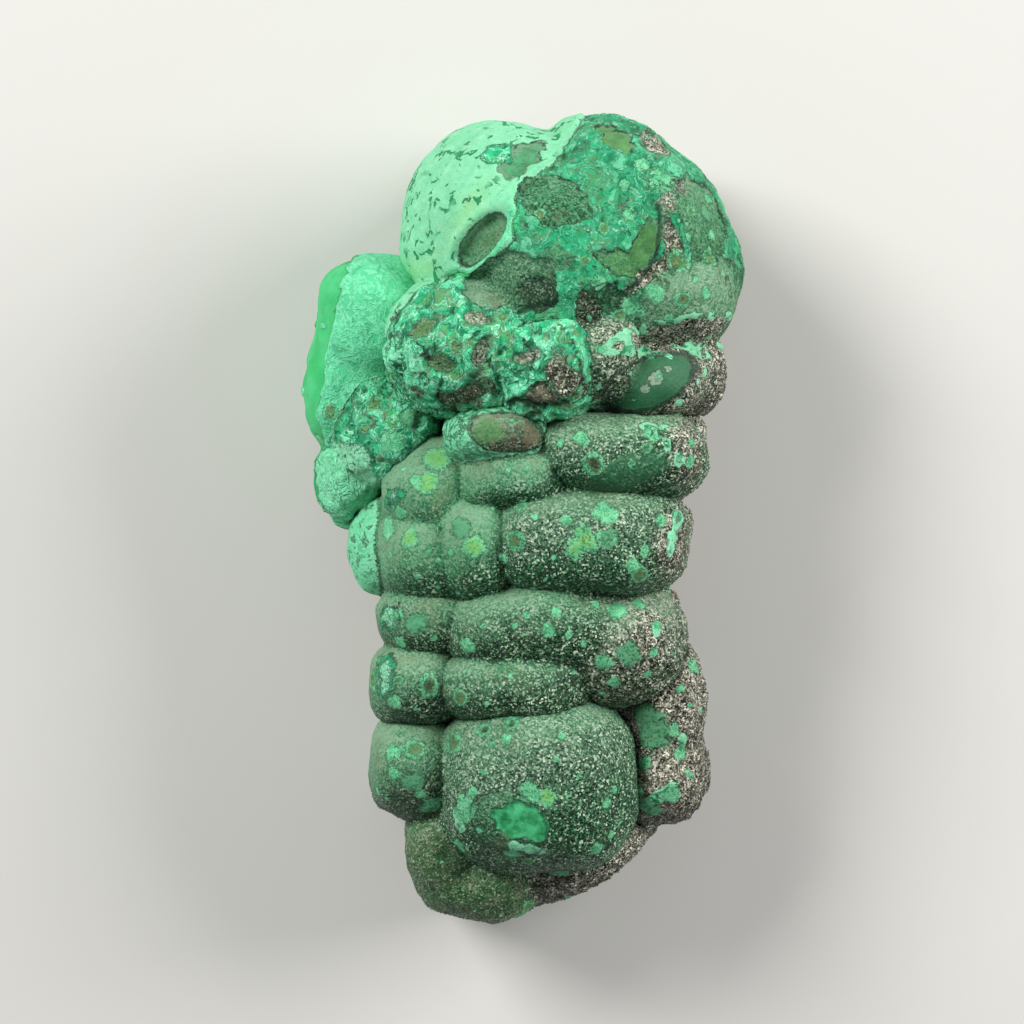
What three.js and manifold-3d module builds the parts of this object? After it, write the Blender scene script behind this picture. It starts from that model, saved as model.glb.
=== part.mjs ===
// A loose specimen of botryoidal malachite: one stone that grew as a cluster of rounded lobes.
// Millimetres. The stone lies on its broken back, so +Z points away from the surface it lies on.
// +Y runs from the narrow foot up to the broad crown, and +X to the right.
// The origin is the middle of the resting side.
import * as THREE from "three";
import { mergeVertices } from "three/addons/utils/BufferGeometryUtils.js";
import Module from "manifold-3d";

// Driving dimensions.
const LENGTH = 85.5; // foot to crown
const WIDTH = 46.4; // ear to the right side of the crown
const THICKNESS = 33; // broken back to the front of the crown
const REACH_PER_SPLIT = 4.2; // mean radius of a lobe for each further split of its facets

const MALACHITE = { color: 0x3f8f66, roughness: 0.75, metalness: 0 };

// Each lobe is an ellipsoid: where its centre is, its three radii, and its turn about Z in degrees.
const lobe = (at, radii, turn = 0) => ({ at, radii, turn });

// The middle of the stone, which every lobe grew from.
const HEART = [
  lobe([4.5, 25, 10], [15, 13, 16]),
  lobe([2.5, 6, 8], [14, 13, 15]),
  lobe([1, -16, 8], [13.5, 20, 14.5]),
  lobe([4, -28, 7], [12, 10.5, 14]),
  lobe([-13, 11, 7], [6, 11, 9]),
];

// The crown: two broad domes, the crusted bulges under them, and the lobes around its back edge.
const CROWN = [
  lobe([-1.3, 30.6, 18], [11.7, 11.8, 12.8]),
  lobe([11.3, 29.9, 18], [14.3, 10, 13], -53),
  lobe([5.6, 26.8, 18], [13, 11.6, 15]),
  lobe([14.8, 23.6, 19], [8.4, 6.8, 11.4]),
  lobe([-5.4, 18.2, 23], [8.8, 7.2, 9.6]),
  lobe([2.7, 16.2, 25], [6.1, 5.4, 8]),
  lobe([8.2, 17, 23], [4, 5.6, 8.6]),
  lobe([13.2, 14.2, 21], [6.2, 3.9, 8], 20),
  lobe([16.9, 16, 15], [4.3, 5, 7.5]),
  lobe([-6.2, 30.5, 8], [6.4, 7.6, 9.4]),
  lobe([1.8, 37, 8.5], [7, 5.2, 9.2]),
  lobe([11.6, 35.6, 7.5], [6.4, 5.6, 9]),
  lobe([18.3, 27.6, 8.5], [4.7, 7.6, 9.6], 8),
  lobe([15.8, 16.6, 6], [4.8, 5.2, 8]),
];

// The ear: the cluster on the left, which a deep gap parts from the column.
const EAR = [
  lobe([-15.4, 21, 15.5], [6.4, 7, 10.5]),
  lobe([-18.5, 13.7, 14.5], [4.7, 6.3, 8.5]),
  lobe([-14.1, 9.9, 17], [5.2, 5.9, 8.5]),
  lobe([-18.4, 4, 13], [3.9, 4.9, 7.5]),
  lobe([-14.6, 19.6, 6], [5.4, 6.2, 8]),
  lobe([-16.4, 11.6, 6], [5, 5.8, 8]),
  lobe([-15.2, 4.4, 5], [5, 5, 7]),
];

// The column: four stacked rows of lobes, and the lobes down its two sides.
const THIRD_ROW = [
  lobe([-2.6, 8.9, 23], [5.6, 3.3, 8]),
  lobe([-0.7, 4.5, 21], [6.2, 3.5, 8.4]),
  lobe([10.1, 7, 20.6], [9, 4.8, 10]),
  lobe([16.4, 7.4, 13.5], [3.6, 4.8, 7]),
  lobe([13.6, 7.2, 6], [5, 5.2, 8]),
];
const FOURTH_ROW = [
  lobe([-14.2, -2.4, 14.5], [4.2, 5.7, 8]),
  lobe([-9.7, 3.2, 19], [5, 5.7, 8]),
  lobe([-10.3, -3.2, 19.5], [4.7, 5.2, 8]),
  lobe([-5.1, -2.4, 20.4], [4, 5.2, 8.8]),
  lobe([7.3, -2, 20.4], [10.6, 5.8, 10.2]),
  lobe([14.6, -2.2, 11], [3.6, 5, 7.6]),
  lobe([-12.4, -1.6, 6], [4.8, 5.4, 8]),
  lobe([12, -1.8, 5], [5, 5, 7.4]),
];
const FIFTH_ROW = [
  lobe([-10.3, -10.2, 17], [4.7, 3.6, 8]),
  lobe([1.8, -10.8, 19], [9.6, 4.8, 9.8]),
  lobe([10.3, -12.8, 18], [7.4, 6.6, 9.8]),
  lobe([-10.6, -9.8, 7], [4.6, 4.4, 7.6]),
  lobe([11.8, -10.2, 7], [5.4, 5.4, 8.4]),
];
const SIXTH_ROW = [
  lobe([-11.2, -16.8, 16], [4.6, 4.5, 9]),
  lobe([-0.9, -16.9, 19], [8, 4.2, 9.6]),
  lobe([-11, -17.2, 6], [4.8, 4.8, 7.6]),
];

// The foot: the broadest lobe of the column, its flanks and the dark tip.
const FOOT = [
  lobe([-12, -25.4, 15], [4.6, 5.8, 9.4]),
  lobe([1.7, -26.9, 18], [10.6, 9.6, 11]),
  lobe([15.4, -19, 14], [4.8, 7, 8.8]),
  lobe([15, -26.2, 13], [5.4, 6.8, 9]),
  lobe([-8, -33.8, 13], [4.6, 6.2, 9]),
  lobe([-4.4, -38, 12.5], [7, 4.8, 8.5]),
  lobe([5.8, -34.8, 12], [8.2, 4.2, 8], 27),
  lobe([-11.2, -25.8, 5.6], [4.8, 6, 7.6]),
  lobe([14.2, -22, 5], [5.2, 7, 7.4]),
  lobe([8.2, -31, 4.5], [8, 5.4, 6.6], 30),
  lobe([-4.6, -35.6, 5], [7.6, 6, 7.2]),
];

const LOBES = [...HEART, ...CROWN, ...EAR, ...THIRD_ROW, ...FOURTH_ROW, ...FIFTH_ROW, ...SIXTH_ROW, ...FOOT];

// A closed, faceted ellipsoid: an icosahedron's facets, split more finely the bigger the lobe is.
function lobeGeometry({ at, radii, turn }) {
  const reach = (radii[0] + radii[1] + radii[2]) / 3;
  const detail = Math.round(reach / REACH_PER_SPLIT);
  const geometry = new THREE.IcosahedronGeometry(1, detail);
  geometry.scale(...radii);
  geometry.rotateZ(THREE.MathUtils.degToRad(turn));
  geometry.translate(...at);
  return geometry;
}

// The slab of space behind the broken back, to be cut away.
function behindTheBack() {
  const depth = 2 * THICKNESS;
  const slab = new THREE.BoxGeometry(2 * WIDTH, 2 * LENGTH, depth);
  slab.translate(0, 0, -depth / 2);
  return slab;
}

// A three.js geometry as a manifold-3d solid.
function toSolid(wasm, geometry) {
  const bare = geometry.clone();
  bare.deleteAttribute("normal");
  bare.deleteAttribute("uv");
  const merged = mergeVertices(bare, 1e-4);
  const vertProperties = new Float32Array(merged.attributes.position.array);
  const triVerts = new Uint32Array(merged.index.array);
  return new wasm.Manifold(new wasm.Mesh({ numProp: 3, vertProperties, triVerts }));
}

// A manifold-3d solid as a flat-shaded three.js geometry.
function toGeometry(solid) {
  const { vertProperties, triVerts } = solid.getMesh();
  const geometry = new THREE.BufferGeometry();
  geometry.setAttribute("position", new THREE.BufferAttribute(new Float32Array(vertProperties), 3));
  geometry.setIndex(new THREE.BufferAttribute(new Uint32Array(triVerts), 1));
  return geometry;
}

// Sets the middle of the resting side at the origin.
function centre(geometry) {
  geometry.computeBoundingBox();
  const middle = geometry.boundingBox.getCenter(new THREE.Vector3());
  geometry.translate(-middle.x, -middle.y, -geometry.boundingBox.min.z);
  return geometry;
}

function stoneGeometry(wasm) {
  const grown = LOBES.map((one) => toSolid(wasm, lobeGeometry(one))).reduce((sum, next) => sum.add(next));
  const broken = grown.subtract(toSolid(wasm, behindTheBack()));
  return centre(toGeometry(broken));
}

const wasm = await Module();
wasm.setup();

const stone = new THREE.Mesh(stoneGeometry(wasm), new THREE.MeshStandardMaterial(MALACHITE));
stone.name = "stone";

const group = new THREE.Group();
group.add(stone);

export default group;
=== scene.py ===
"""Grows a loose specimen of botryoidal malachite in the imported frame, as an add-on that is run as a script.

Shapes are worked out in millimetres and put into the meshes in metres.
"""

import itertools
import math

import bpy
import numpy as np
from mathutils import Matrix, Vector


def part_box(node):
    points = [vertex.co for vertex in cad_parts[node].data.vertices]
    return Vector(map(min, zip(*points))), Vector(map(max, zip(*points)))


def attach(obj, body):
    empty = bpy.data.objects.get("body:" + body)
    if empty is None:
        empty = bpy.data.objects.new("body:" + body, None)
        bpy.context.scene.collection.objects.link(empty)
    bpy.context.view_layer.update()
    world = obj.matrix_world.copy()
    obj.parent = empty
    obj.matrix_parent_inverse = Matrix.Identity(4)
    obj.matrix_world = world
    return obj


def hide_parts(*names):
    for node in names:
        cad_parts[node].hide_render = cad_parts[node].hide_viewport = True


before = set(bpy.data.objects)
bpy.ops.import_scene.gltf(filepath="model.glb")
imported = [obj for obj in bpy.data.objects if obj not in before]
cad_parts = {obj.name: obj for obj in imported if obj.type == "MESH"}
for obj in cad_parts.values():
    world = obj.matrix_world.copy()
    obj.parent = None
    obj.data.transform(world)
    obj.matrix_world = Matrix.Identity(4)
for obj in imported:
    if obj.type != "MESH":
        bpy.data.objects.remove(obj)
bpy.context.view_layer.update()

bl_info = {
    "name": "Malachite specimen",
    "version": (1, 0, 0),
    "blender": (4, 5, 0),
    "location": "View3D > Sidebar > Malachite",
    "description": "Grows a botryoidal malachite specimen lobe by lobe, with its crust and its crystals",
    "category": "Add Mesh",
}

NODE = "stone"
BODY = "root"
MM = 0.001
BROKEN_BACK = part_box(NODE)[0].z / MM


# ---------------------------------------------------------------- the lobes and what covers each of them

# How much of each covering a finish has, from 0 to 1.
# A finish's paleness here is only its own; the painted light and shade is added to it later.
FINISHES = {
    "swirl": {"crust": 0.72, "brown": 0.1, "bloom": 0.0},
    "crumb": {"crust": 1.0, "brown": 0.4, "bloom": 0.05},
    "pale": {"mint": 0.8, "crust": 0.35, "jade": 0.5},
    "rust": {"crust": 1.0, "brown": 0.5, "bloom": -0.05},
    "velvet": {"druzy": 0.12, "bloom": 0.16},
    "dull": {"druzy": 0.2, "bloom": 0.0, "grey": 0.22, "brown": 0.1},
    "moss": {"druzy": 0.25, "crust": 0.25, "bloom": 0.5, "brown": 0.1, "grey": 0.15},
    "fine": {"druzy": 0.5, "bloom": -0.1, "grey": 0.12},
    "druzy": {"druzy": 0.9, "bloom": 0.0},
    "dusk": {"druzy": 0.9, "grey": 0.3, "bloom": -0.2, "olive": 0.45, "brown": 0.45},
    "ash": {"druzy": 0.7, "grey": 0.5, "bloom": 0.2},
    "soot": {"druzy": 1.0, "grey": 1.0, "bloom": 0.38},
    "leaf": {"smooth": 1.0, "bloom": -0.1},
    "stain": {"smooth": 0.2, "grey": 0.6, "brown": 0.7, "bloom": -0.1},
}
CHANNELS = ("mint", "crust", "druzy", "grey", "brown", "smooth", "bloom", "jade", "olive", "bright")


def lobe(centre, radii, finish, turn=0.0, square=2.0):
    """A rounded lobe: its centre, its three radii, its finish, its turn about Z in degrees, and the power
    of its superellipsoid, which is an ellipsoid at 2 and a pillow above that."""
    return np.array(centre, float), np.array(radii, float), finish, math.radians(turn), square


CROWN = [
    lobe((4.5, 25, 10), (15, 13, 16), "swirl"),
    lobe((-1.0, 30.2, 18), (11.5, 11.2, 12.8), "swirl"),
    lobe((11.1, 29.7, 18), (13.7, 9.9, 13), "swirl", -53),
    lobe((4.8, 27.2, 18), (13, 12.2, 15), "swirl", 0, 2.1),
    lobe((14.5, 23.8, 19), (7.9, 6.6, 11.4), "moss", 0, 2.2),
    lobe((-5.4, 18.2, 23), (8.8, 7.2, 9.6), "crumb", 0, 2.3),
    lobe((2.7, 16.2, 25), (6.1, 5.4, 8), "crumb", 0, 2.4),
    lobe((8.2, 17, 23), (4, 5.6, 8.6), "ash", 0, 2.6),
    lobe((13.2, 14.2, 21), (6.2, 3.9, 8), "leaf", 20, 2.4),
    lobe((16.9, 16, 15), (4.3, 5, 7.5), "soot", 0, 2.3),
    lobe((-6.2, 30.1, 8), (6.0, 7.2, 9.4), "pale", 0, 2.2),
    lobe((1.8, 36.6, 8.5), (7, 5.0, 9.2), "swirl", 0, 2.2),
    lobe((11.4, 35.4, 7.5), (6.2, 5.4, 9), "moss", 0, 2.2),
    lobe((17.9, 27.6, 8.5), (4.3, 7.3, 9.6), "moss", 8, 2.2),
    lobe((15.8, 16.6, 6), (4.8, 5.2, 8), "ash", 0, 2.3),
]
EAR = [
    lobe((-13, 11, 7), (6, 11, 9), "velvet"),
    lobe((-15.4, 21, 15.5), (6.4, 7, 10.5), "pale", 0, 2.3),
    lobe((-18.5, 13.7, 14.5), (4.7, 6.3, 8.5), "pale", 0, 2.3),
    lobe((-14.1, 9.9, 17), (5.2, 5.9, 8.5), "rust", 0, 2.3),
    lobe((-18.4, 4, 13), (3.9, 4.9, 7.5), "pale", 0, 2.2),
    lobe((-14.6, 19.6, 6), (5.4, 6.2, 8), "pale", 0, 2.3),
    lobe((-16.4, 11.6, 6), (5, 5.8, 8), "pale", 0, 2.3),
    lobe((-15.2, 4.4, 5), (5, 5, 7), "velvet", 0, 2.3),
]
COLUMN = [
    lobe((2.5, 6, 8), (14, 13, 15), "druzy"),
    lobe((1, -16, 8), (13.5, 20, 14.5), "druzy"),
    lobe((-2.6, 8.9, 23), (5.6, 3.3, 8), "stain", 0, 2.3),
    lobe((-0.7, 4.5, 21), (6.2, 3.7, 8.4), "velvet", 0, 2.8),
    lobe((10.1, 7, 20.6), (9, 4.8, 10), "druzy", 0, 2.8),
    lobe((16.4, 7.4, 13.5), (3.6, 4.8, 7), "soot", 0, 2.4),
    lobe((13.6, 7.2, 6), (5, 5.2, 8), "ash", 0, 2.4),
    lobe((-14.2, -2.4, 14.5), (4.2, 5.7, 8), "pale", 0, 2.4),
    lobe((-9.4, 3.0, 19), (5.3, 6.2, 8.2), "velvet", 0, 2.4),
    lobe((-9.9, -3.2, 19.3), (5.2, 5.6, 8.2), "velvet", 0, 2.4),
    lobe((-5.0, -2.4, 20.2), (4.7, 5.8, 8.8), "velvet", 0, 2.5),
    lobe((6.9, -2, 20.4), (10.2, 5.8, 10.2), "druzy", 0, 3.0),
    lobe((14.6, -2.2, 11), (3.6, 5, 7.6), "soot", 0, 2.4),
    lobe((-12.4, -1.6, 6), (4.8, 5.4, 8), "velvet", 0, 2.4),
    lobe((12, -1.8, 5), (5, 5, 7.4), "druzy", 0, 2.4),
    lobe((-9.7, -10.0, 17.4), (5.3, 4.3, 8.4), "dull", 0, 2.5),
    lobe((1.6, -10.8, 19), (9.8, 4.9, 9.8), "fine", 0, 2.8),
    lobe((10.0, -12.8, 18), (7.2, 6.6, 9.8), "ash", 0, 2.4),
    lobe((-10.6, -9.8, 7), (4.6, 4.4, 7.6), "dull", 0, 2.4),
    lobe((11.8, -10.2, 7), (5.4, 5.4, 8.4), "ash", 0, 2.4),
    lobe((-10.6, -16.7, 16.6), (5.2, 5.0, 9.4), "dull", 0, 2.4),
    lobe((-0.9, -16.9, 19), (8.2, 4.4, 9.6), "fine", 0, 2.6),
    lobe((-11, -17.2, 6), (4.8, 4.8, 7.6), "dull", 0, 2.4),
]
FOOT = [
    lobe((0, -25, 8), (12, 9, 12), "druzy"),
    lobe((4, -28, 7), (11, 9.5, 13), "druzy"),
    lobe((-11.3, -25.2, 15.4), (5.1, 6.3, 9.6), "dull", 0, 2.3),
    lobe((1.6, -26.9, 18), (10.5, 9.7, 11), "druzy", 0, 2.6),
    lobe((-8, -33.8, 13), (4.6, 6.2, 9), "dusk", 0, 2.4),
    lobe((-4.4, -37.6, 12.5), (7, 4.7, 8.5), "dusk", 0, 2.3),
    lobe((5.8, -34.8, 12), (8.2, 4.2, 8), "soot", 27, 2.5),
    lobe((-11.2, -25.8, 5.6), (4.8, 6, 7.6), "dull", 0, 2.4),
    lobe((8.2, -31, 4.5), (8, 5.4, 6.6), "ash", 30, 2.4),
    lobe((-4.6, -35.6, 5), (7.6, 6, 7.2), "dusk", 0, 2.4),
]
FLANK = [
    lobe((10, -22, 8), (7, 12, 11), "soot"),
    lobe((15.1, -19, 14), (4.6, 7, 8.8), "soot", 0, 2.3),
    lobe((14.6, -25.8, 13), (5.1, 6.5, 9), "soot", 0, 2.3),
    lobe((14.2, -22, 5), (5.2, 7, 7.4), "ash", 0, 2.3),
]
PIECES = {"crown": CROWN, "ear": EAR, "column": COLUMN, "foot": FOOT, "flank": FLANK}
# The spine that each piece's grid is spread from, and the grid's rows and columns.
GRIDS = {
    "crown": (((3, 19, 13), (5, 31, 14)), 300, 314),
    "ear": (((-15, 6, 9), (-14.5, 19, 11)), 230, 200),
    "column": (((0, -16, 12), (2, 7, 12)), 300, 314),
    "foot": (((-1, -33, 11), (1, -23, 12)), 290, 300),
    "flank": (((12, -27, 9), (12.5, -17, 9)), 220, 220),
}


# ---------------------------------------------------------------- number tools


def smooth_step(value, low, high):
    """0 below low, 1 above high, and 3 t t - 2 t t t between, where t runs from 0 to 1."""
    t = np.clip((value - low) / (high - low), 0, 1)
    return t * t * (3 - 2 * t)


def bell(value, width):
    """1 at 0, and exp(-(value / width)^2) away from it."""
    return np.exp(-((value / width) ** 2))


def dot(a, b):
    """The sum of the products of two rows of three numbers."""
    return np.einsum("...k,...k->...", a, b)


def unit(a):
    """A row of three numbers divided by its own length."""
    return a / np.maximum(np.linalg.norm(a, axis=-1, keepdims=True), 1e-9)


# Large odd numbers that scramble a cell's place.
STRIDES = (374761393, 668265263, 1274126177, 1013904223)
STIRS = (1103515245, 668265261)
ALL_BITS = 0xFFFFFFFF


def scatter(cell, seed):
    """A number from 0 to 1 for each whole-number cell: its three numbers multiplied, added and scrambled."""
    mixed = cell[..., 0] * STRIDES[0] + cell[..., 1] * STRIDES[1] + cell[..., 2] * STRIDES[2]
    mixed = (mixed + seed * STRIDES[3]) & ALL_BITS
    mixed = ((mixed ^ (mixed >> 13)) * STIRS[0]) & ALL_BITS
    mixed = ((mixed ^ (mixed >> 15)) * STIRS[1]) & ALL_BITS
    return (mixed ^ (mixed >> 16)) / ALL_BITS


def scatter_three(cell, seed):
    """Three such numbers for each cell."""
    return np.stack([scatter(cell, seed + k) for k in range(3)], -1)


def waves(points, size, seed, octaves=1):
    """Gradient noise of about -1 to 1: each corner of a cube of this size has a random slope, the slopes'
    planes are blended across the cube, and each further octave is half as big and half as strong."""
    total, strength, sum_of_strengths = 0.0, 1.0, 0.0
    for octave in range(octaves):
        place = points / size * 2**octave + 19.7 * seed
        cell = np.floor(place).astype(np.int64)
        part = place - cell
        ease = part**3 * (part * (part * 6 - 15) + 10)
        for corner in itertools.product((0, 1), repeat=3):
            away = part - corner
            slope = scatter_three(cell + corner, 7 * seed + 3 * octave) - 0.5
            weight = np.prod(np.where(corner, ease, 1 - ease), axis=-1)
            total = total + strength * weight * dot(slope, away)
        sum_of_strengths += strength
        strength /= 2
    return 3.2 * total / sum_of_strengths


def pushes(points, size, seed, octaves=1):
    """Three noises at each point, to push it about with."""
    return np.stack([waves(points, size, seed + k, octaves) for k in range(3)], -1)


def grains(points, size, seed):
    """The distance to the nearest of random points, one in each cube of this size, the distance to the
    second nearest, both in cube sides, and a random number from 0 to 1 that belongs to the nearest."""
    place = points / size + 11.3 * seed
    cell = np.floor(place).astype(np.int64)
    nearest = np.full(points.shape[:-1], 9.0)
    second = nearest.copy()
    tag = np.zeros_like(nearest)
    for step in itertools.product((-1, 0, 1), repeat=3):
        other = cell + step
        offset = scatter_three(other, 5 * seed)
        distance = np.linalg.norm(other + offset - place, axis=-1)
        closer = distance < nearest
        second = np.where(closer, nearest, np.minimum(second, distance))
        tag = np.where(closer, scatter(other, 5 * seed + 4), tag)
        nearest = np.minimum(nearest, distance)
    return nearest, second, tag


def beside(path, points):
    """The distance in X and Y from each point to the nearest stretch of an open path, positive on the
    path's left."""
    best = np.full(points.shape[:-1], 1e9)
    side = np.ones_like(best)
    for (ax, ay), (bx, by) in zip(path, path[1:]):
        dx, dy = bx - ax, by - ay
        px, py = points[..., 0] - ax, points[..., 1] - ay
        along = np.clip((px * dx + py * dy) / (dx * dx + dy * dy), 0, 1)
        distance = np.hypot(px - along * dx, py - along * dy)
        closer = distance < best
        side = np.where(closer, np.sign(dx * py - dy * px), side)
        best = np.where(closer, distance, best)
    return best * side


# ---------------------------------------------------------------- the surface over a cluster of lobes


def in_lobe(points, one, shift=True):
    """Points in a lobe's own turned and scaled space, where its surface is the unit sphere."""
    centre, radii, _, turn, _ = one
    x, y, z = np.moveaxis(points - centre if shift else points, -1, 0)
    c, s = math.cos(turn), math.sin(turn)
    return np.stack([(c * x + s * y) / radii[0], (c * y - s * x) / radii[1], z / radii[2]], -1)


def lobe_distance(points, one):
    """The distance to a lobe, negative inside, and its slope. With q the scaled point and n the lobe's
    power, f = (sum of |q|^n)^(1/n) is 1 on the surface, g = |q|^(n-1) / radius, with the sign of q, points
    outwards, and the distance is (f - 1) f^(n-1) / |g|."""
    _, radii, _, turn, power = one
    scaled = in_lobe(points, one)
    size = np.abs(scaled) + 1e-9
    f = (size**power).sum(axis=-1) ** (1 / power)
    g = np.sign(scaled) * size ** (power - 1) / radii
    steep = np.maximum(np.linalg.norm(g, axis=-1), 1e-9)
    c, s = math.cos(turn), math.sin(turn)
    x, y, z = np.moveaxis(g / steep[..., None], -1, 0)
    return (f - 1) * f ** (power - 1) / steep, np.stack([c * x - s * y, s * x + c * y, z], -1)


def cluster_distance(points, lobes, fillet):
    """The distance to a cluster and its slope. The lobes' distances d are joined as -f log(sum(exp(-d / f))),
    which rounds the creases by about the fillet f."""
    total = np.zeros(points.shape[:-1])
    slope = np.zeros_like(points)
    for one in lobes:
        distance, way = lobe_distance(points, one)
        weight = np.exp(np.clip(-distance / fillet, -300, 300))
        total += weight
        slope += weight[..., None] * way
    return -fillet * np.log(np.maximum(total, 1e-120)), unit(slope)


def with_broken_back(points, distance, slope):
    """Cuts a cluster off at its broken back: the larger of the cluster's distance and the depth below it."""
    below = BROKEN_BACK - points[..., 2]
    cut = below > distance
    down = np.array([0.0, 0.0, -1.0])
    return np.where(cut, below, distance), np.where(cut[..., None], down, slope)


SHORTEST = 0.5  # the least length of a ray that meets no lobe


def farthest_exit(base, way, lobes):
    """How far a ray from base goes before it has left every lobe, each taken as an ellipsoid: the larger root
    of each one's quadratic, and the largest of those. A ray that points down stops at the broken back."""
    far = np.full(base.shape[:-1], SHORTEST)
    for one in lobes:
        start, step = in_lobe(base, one), in_lobe(way, one, shift=False)
        a, b, c = dot(step, step), dot(start, step), dot(start, start) - 1
        root = b * b - a * c
        leaves = (np.sqrt(np.maximum(root, 0)) - b) / a
        far = np.where(root > 0, np.maximum(far, leaves), far)
    down = np.minimum(way[..., 2], -1e-6)
    return np.minimum(far, np.where(way[..., 2] < 0, (BROKEN_BACK - base[..., 2]) / down, far))


def capsule_angles(rows, length, radius):
    """Angles from one pole to the other, spaced so that the steps along a capsule of this length and radius
    are even."""
    fine = np.linspace(0, math.pi, 2000)
    travelled = radius * fine + length / 2 * (1 - np.cos(fine))
    return np.interp(np.linspace(0, travelled[-1], rows), travelled, fine)


GIRTH = 17.0  # about how far a cluster's surface is from its spine
CROWDING = 0.3  # how much closer together the grid's columns are on the front
SMOOTHING = 26  # how often the grid is evened out
EASE = 0.7  # how far a point goes each time towards the middle of its neighbours
SETTLING = 3  # how often the points are first brought back onto the rounded surface
FIRST_MOVE, LATER_MOVE = 1.5, 0.5  # the farthest a point is brought back in one go


def grow(lobes, spine, rows, around, fillet):
    """Spreads a grid over a cluster. One parameter runs from pole to pole along the spine, the other around
    it: rays leave the spine, stop where they leave the last lobe, and the grid is then evened out, each point
    moving along the surface towards the middle of its four neighbours and back onto the surface."""
    start, end = (np.array(p, float) for p in spine)
    along = unit(end - start)
    side = unit(np.cross(along, (0, 0, 1)))
    front = np.cross(side, along)
    tilt = capsule_angles(rows, np.linalg.norm(end - start), GIRTH)[:, None, None]
    turn = np.linspace(0, 2 * math.pi, around, endpoint=False)
    turn = (turn - CROWDING * np.sin(turn))[None, :, None]
    ring = np.cos(turn) * front + np.sin(turn) * side
    way = np.sin(tilt) * ring - np.cos(tilt) * along
    base = start + (end - start) * (1 - np.cos(tilt)) / 2 + 0 * way
    points = base + way * farthest_exit(base, way, lobes)[..., None]
    for _ in range(SETTLING):
        distance, slope = with_broken_back(points, *cluster_distance(points, lobes, fillet))
        points -= np.clip(distance, -FIRST_MOVE, FIRST_MOVE)[..., None] * slope
    for _ in range(SMOOTHING):
        inner = points[1:-1]
        middle = points[:-2] + points[2:] + np.roll(inner, 1, axis=1) + np.roll(inner, -1, axis=1)
        pull = middle / 4 - inner
        normal = slope[1:-1]
        points[1:-1] += EASE * (pull - dot(pull, normal)[..., None] * normal)
        points[0], points[-1] = points[1].mean(axis=0), points[-2].mean(axis=0)
        distance, slope = with_broken_back(points, *cluster_distance(points, lobes, fillet))
        points -= np.clip(distance, -LATER_MOVE, LATER_MOVE)[..., None] * slope
    return points, slope


def bend(points):
    """Pushes points about by slow noise of their own place, so that creases wander and no lobe stays
    symmetrical. The push up or down fades out at the broken back."""
    push = pushes(points, 8.5, 201) * (0.4, 0.4, 0.6) + 0.2 * pushes(points, 3.2, 205)
    push[..., 2] *= smooth_step(points[..., 2], BROKEN_BACK, BROKEN_BACK + 6)
    return points + push


# ---------------------------------------------------------------- what covers a surface


# Up the picture and a little to the left: the way up each lobe, which the painted light makes paler and the
# druze thinner.
UPHILL = np.array([-0.3, 0.9, 0.0])


def start_coat(points, name):
    """Each point's coverings: those of the lobes' finishes, weighted by exp(-distance / blend), how far up
    its lobe it is, how close to a crease, and the depth under the lobes, which shows on the broken back."""
    blend = 0.4 + 1.1 * smooth_step(-points[..., 2], -15, -8)
    own, others = PIECES[name], [one for key, group in PIECES.items() if key != name for one in group]
    coat = {channel: np.zeros(points.shape[:-1]) for channel in (*CHANNELS, "rise")}
    total = np.zeros(points.shape[:-1])
    distances = []
    for one in own:
        distance, _ = lobe_distance(points, one)
        weight = np.exp(np.clip(-distance / blend, -200, 200))
        total += weight
        coat["rise"] += weight * dot((points - one[0]) / one[1], UPHILL)
        for channel, amount in FINISHES[one[2]].items():
            coat[channel] += weight * amount
        distances.append(distance)
    for channel in (*CHANNELS, "rise"):
        coat[channel] /= total
    distances += [lobe_distance(points, one)[0] for one in others]
    nearest = np.sort(np.stack(distances), axis=0)
    # How close to a crease: darkened there as painted shade, by the material and by the velvet's painted
    # light.
    coat["crease"] = np.exp(-np.maximum(nearest[1], 0) / 0.4)
    coat["depth"] = np.maximum(-nearest[0], 0)
    for channel in ("height", "line", "window", "core", "pit"):
        coat[channel] = np.zeros(points.shape[:-1])
    coat["spot"] = np.full(points.shape[:-1], -0.6)
    return coat


def inside(edge, width=0.8):
    """1 well inside an edge and 0 well outside it, for a distance in millimetres that is positive inside. The
    slope between is several grid steps wide, and the material cuts it sharply at a half."""
    return np.clip(0.5 + edge / width, 0, 1)


def cover(coat, amount, **values):
    """Moves the coverings named towards the values given, by an amount from 0 to 1 at each point."""
    for channel, value in values.items():
        coat[channel] += amount * (value - coat[channel])


def mark(coat, channel, amount):
    """Raises a channel to this amount, where it is less."""
    coat[channel] = np.maximum(coat[channel], amount)


def oval(points, normals, place, halves, turn=0.0, wobble=0.3, seed=1):
    """The distance inside an oval's ragged edge on the front: one less the length of the turned point over
    the two half sizes, times the lesser half size, and noise."""
    c, s = math.cos(math.radians(turn)), math.sin(math.radians(turn))
    px, py = points[..., 0] - place[0], points[..., 1] - place[1]
    reach = np.hypot((c * px + s * py) / halves[0], (c * py - s * px) / halves[1])
    edge = np.where(normals[..., 2] > 0.1, (1 - reach) * min(halves), -9.0)
    near = edge > -3
    edge[near] += wobble * waves(points[near], 1.6, seed, 3)
    return edge


def top_point(points, x, y):
    """The grid's point nearest to x, y, where a higher point counts as a little nearer."""
    reach = np.hypot(points[..., 0] - x, points[..., 1] - y) - 0.05 * points[..., 2]
    return points[np.unravel_index(np.argmin(reach), reach.shape)]


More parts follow.
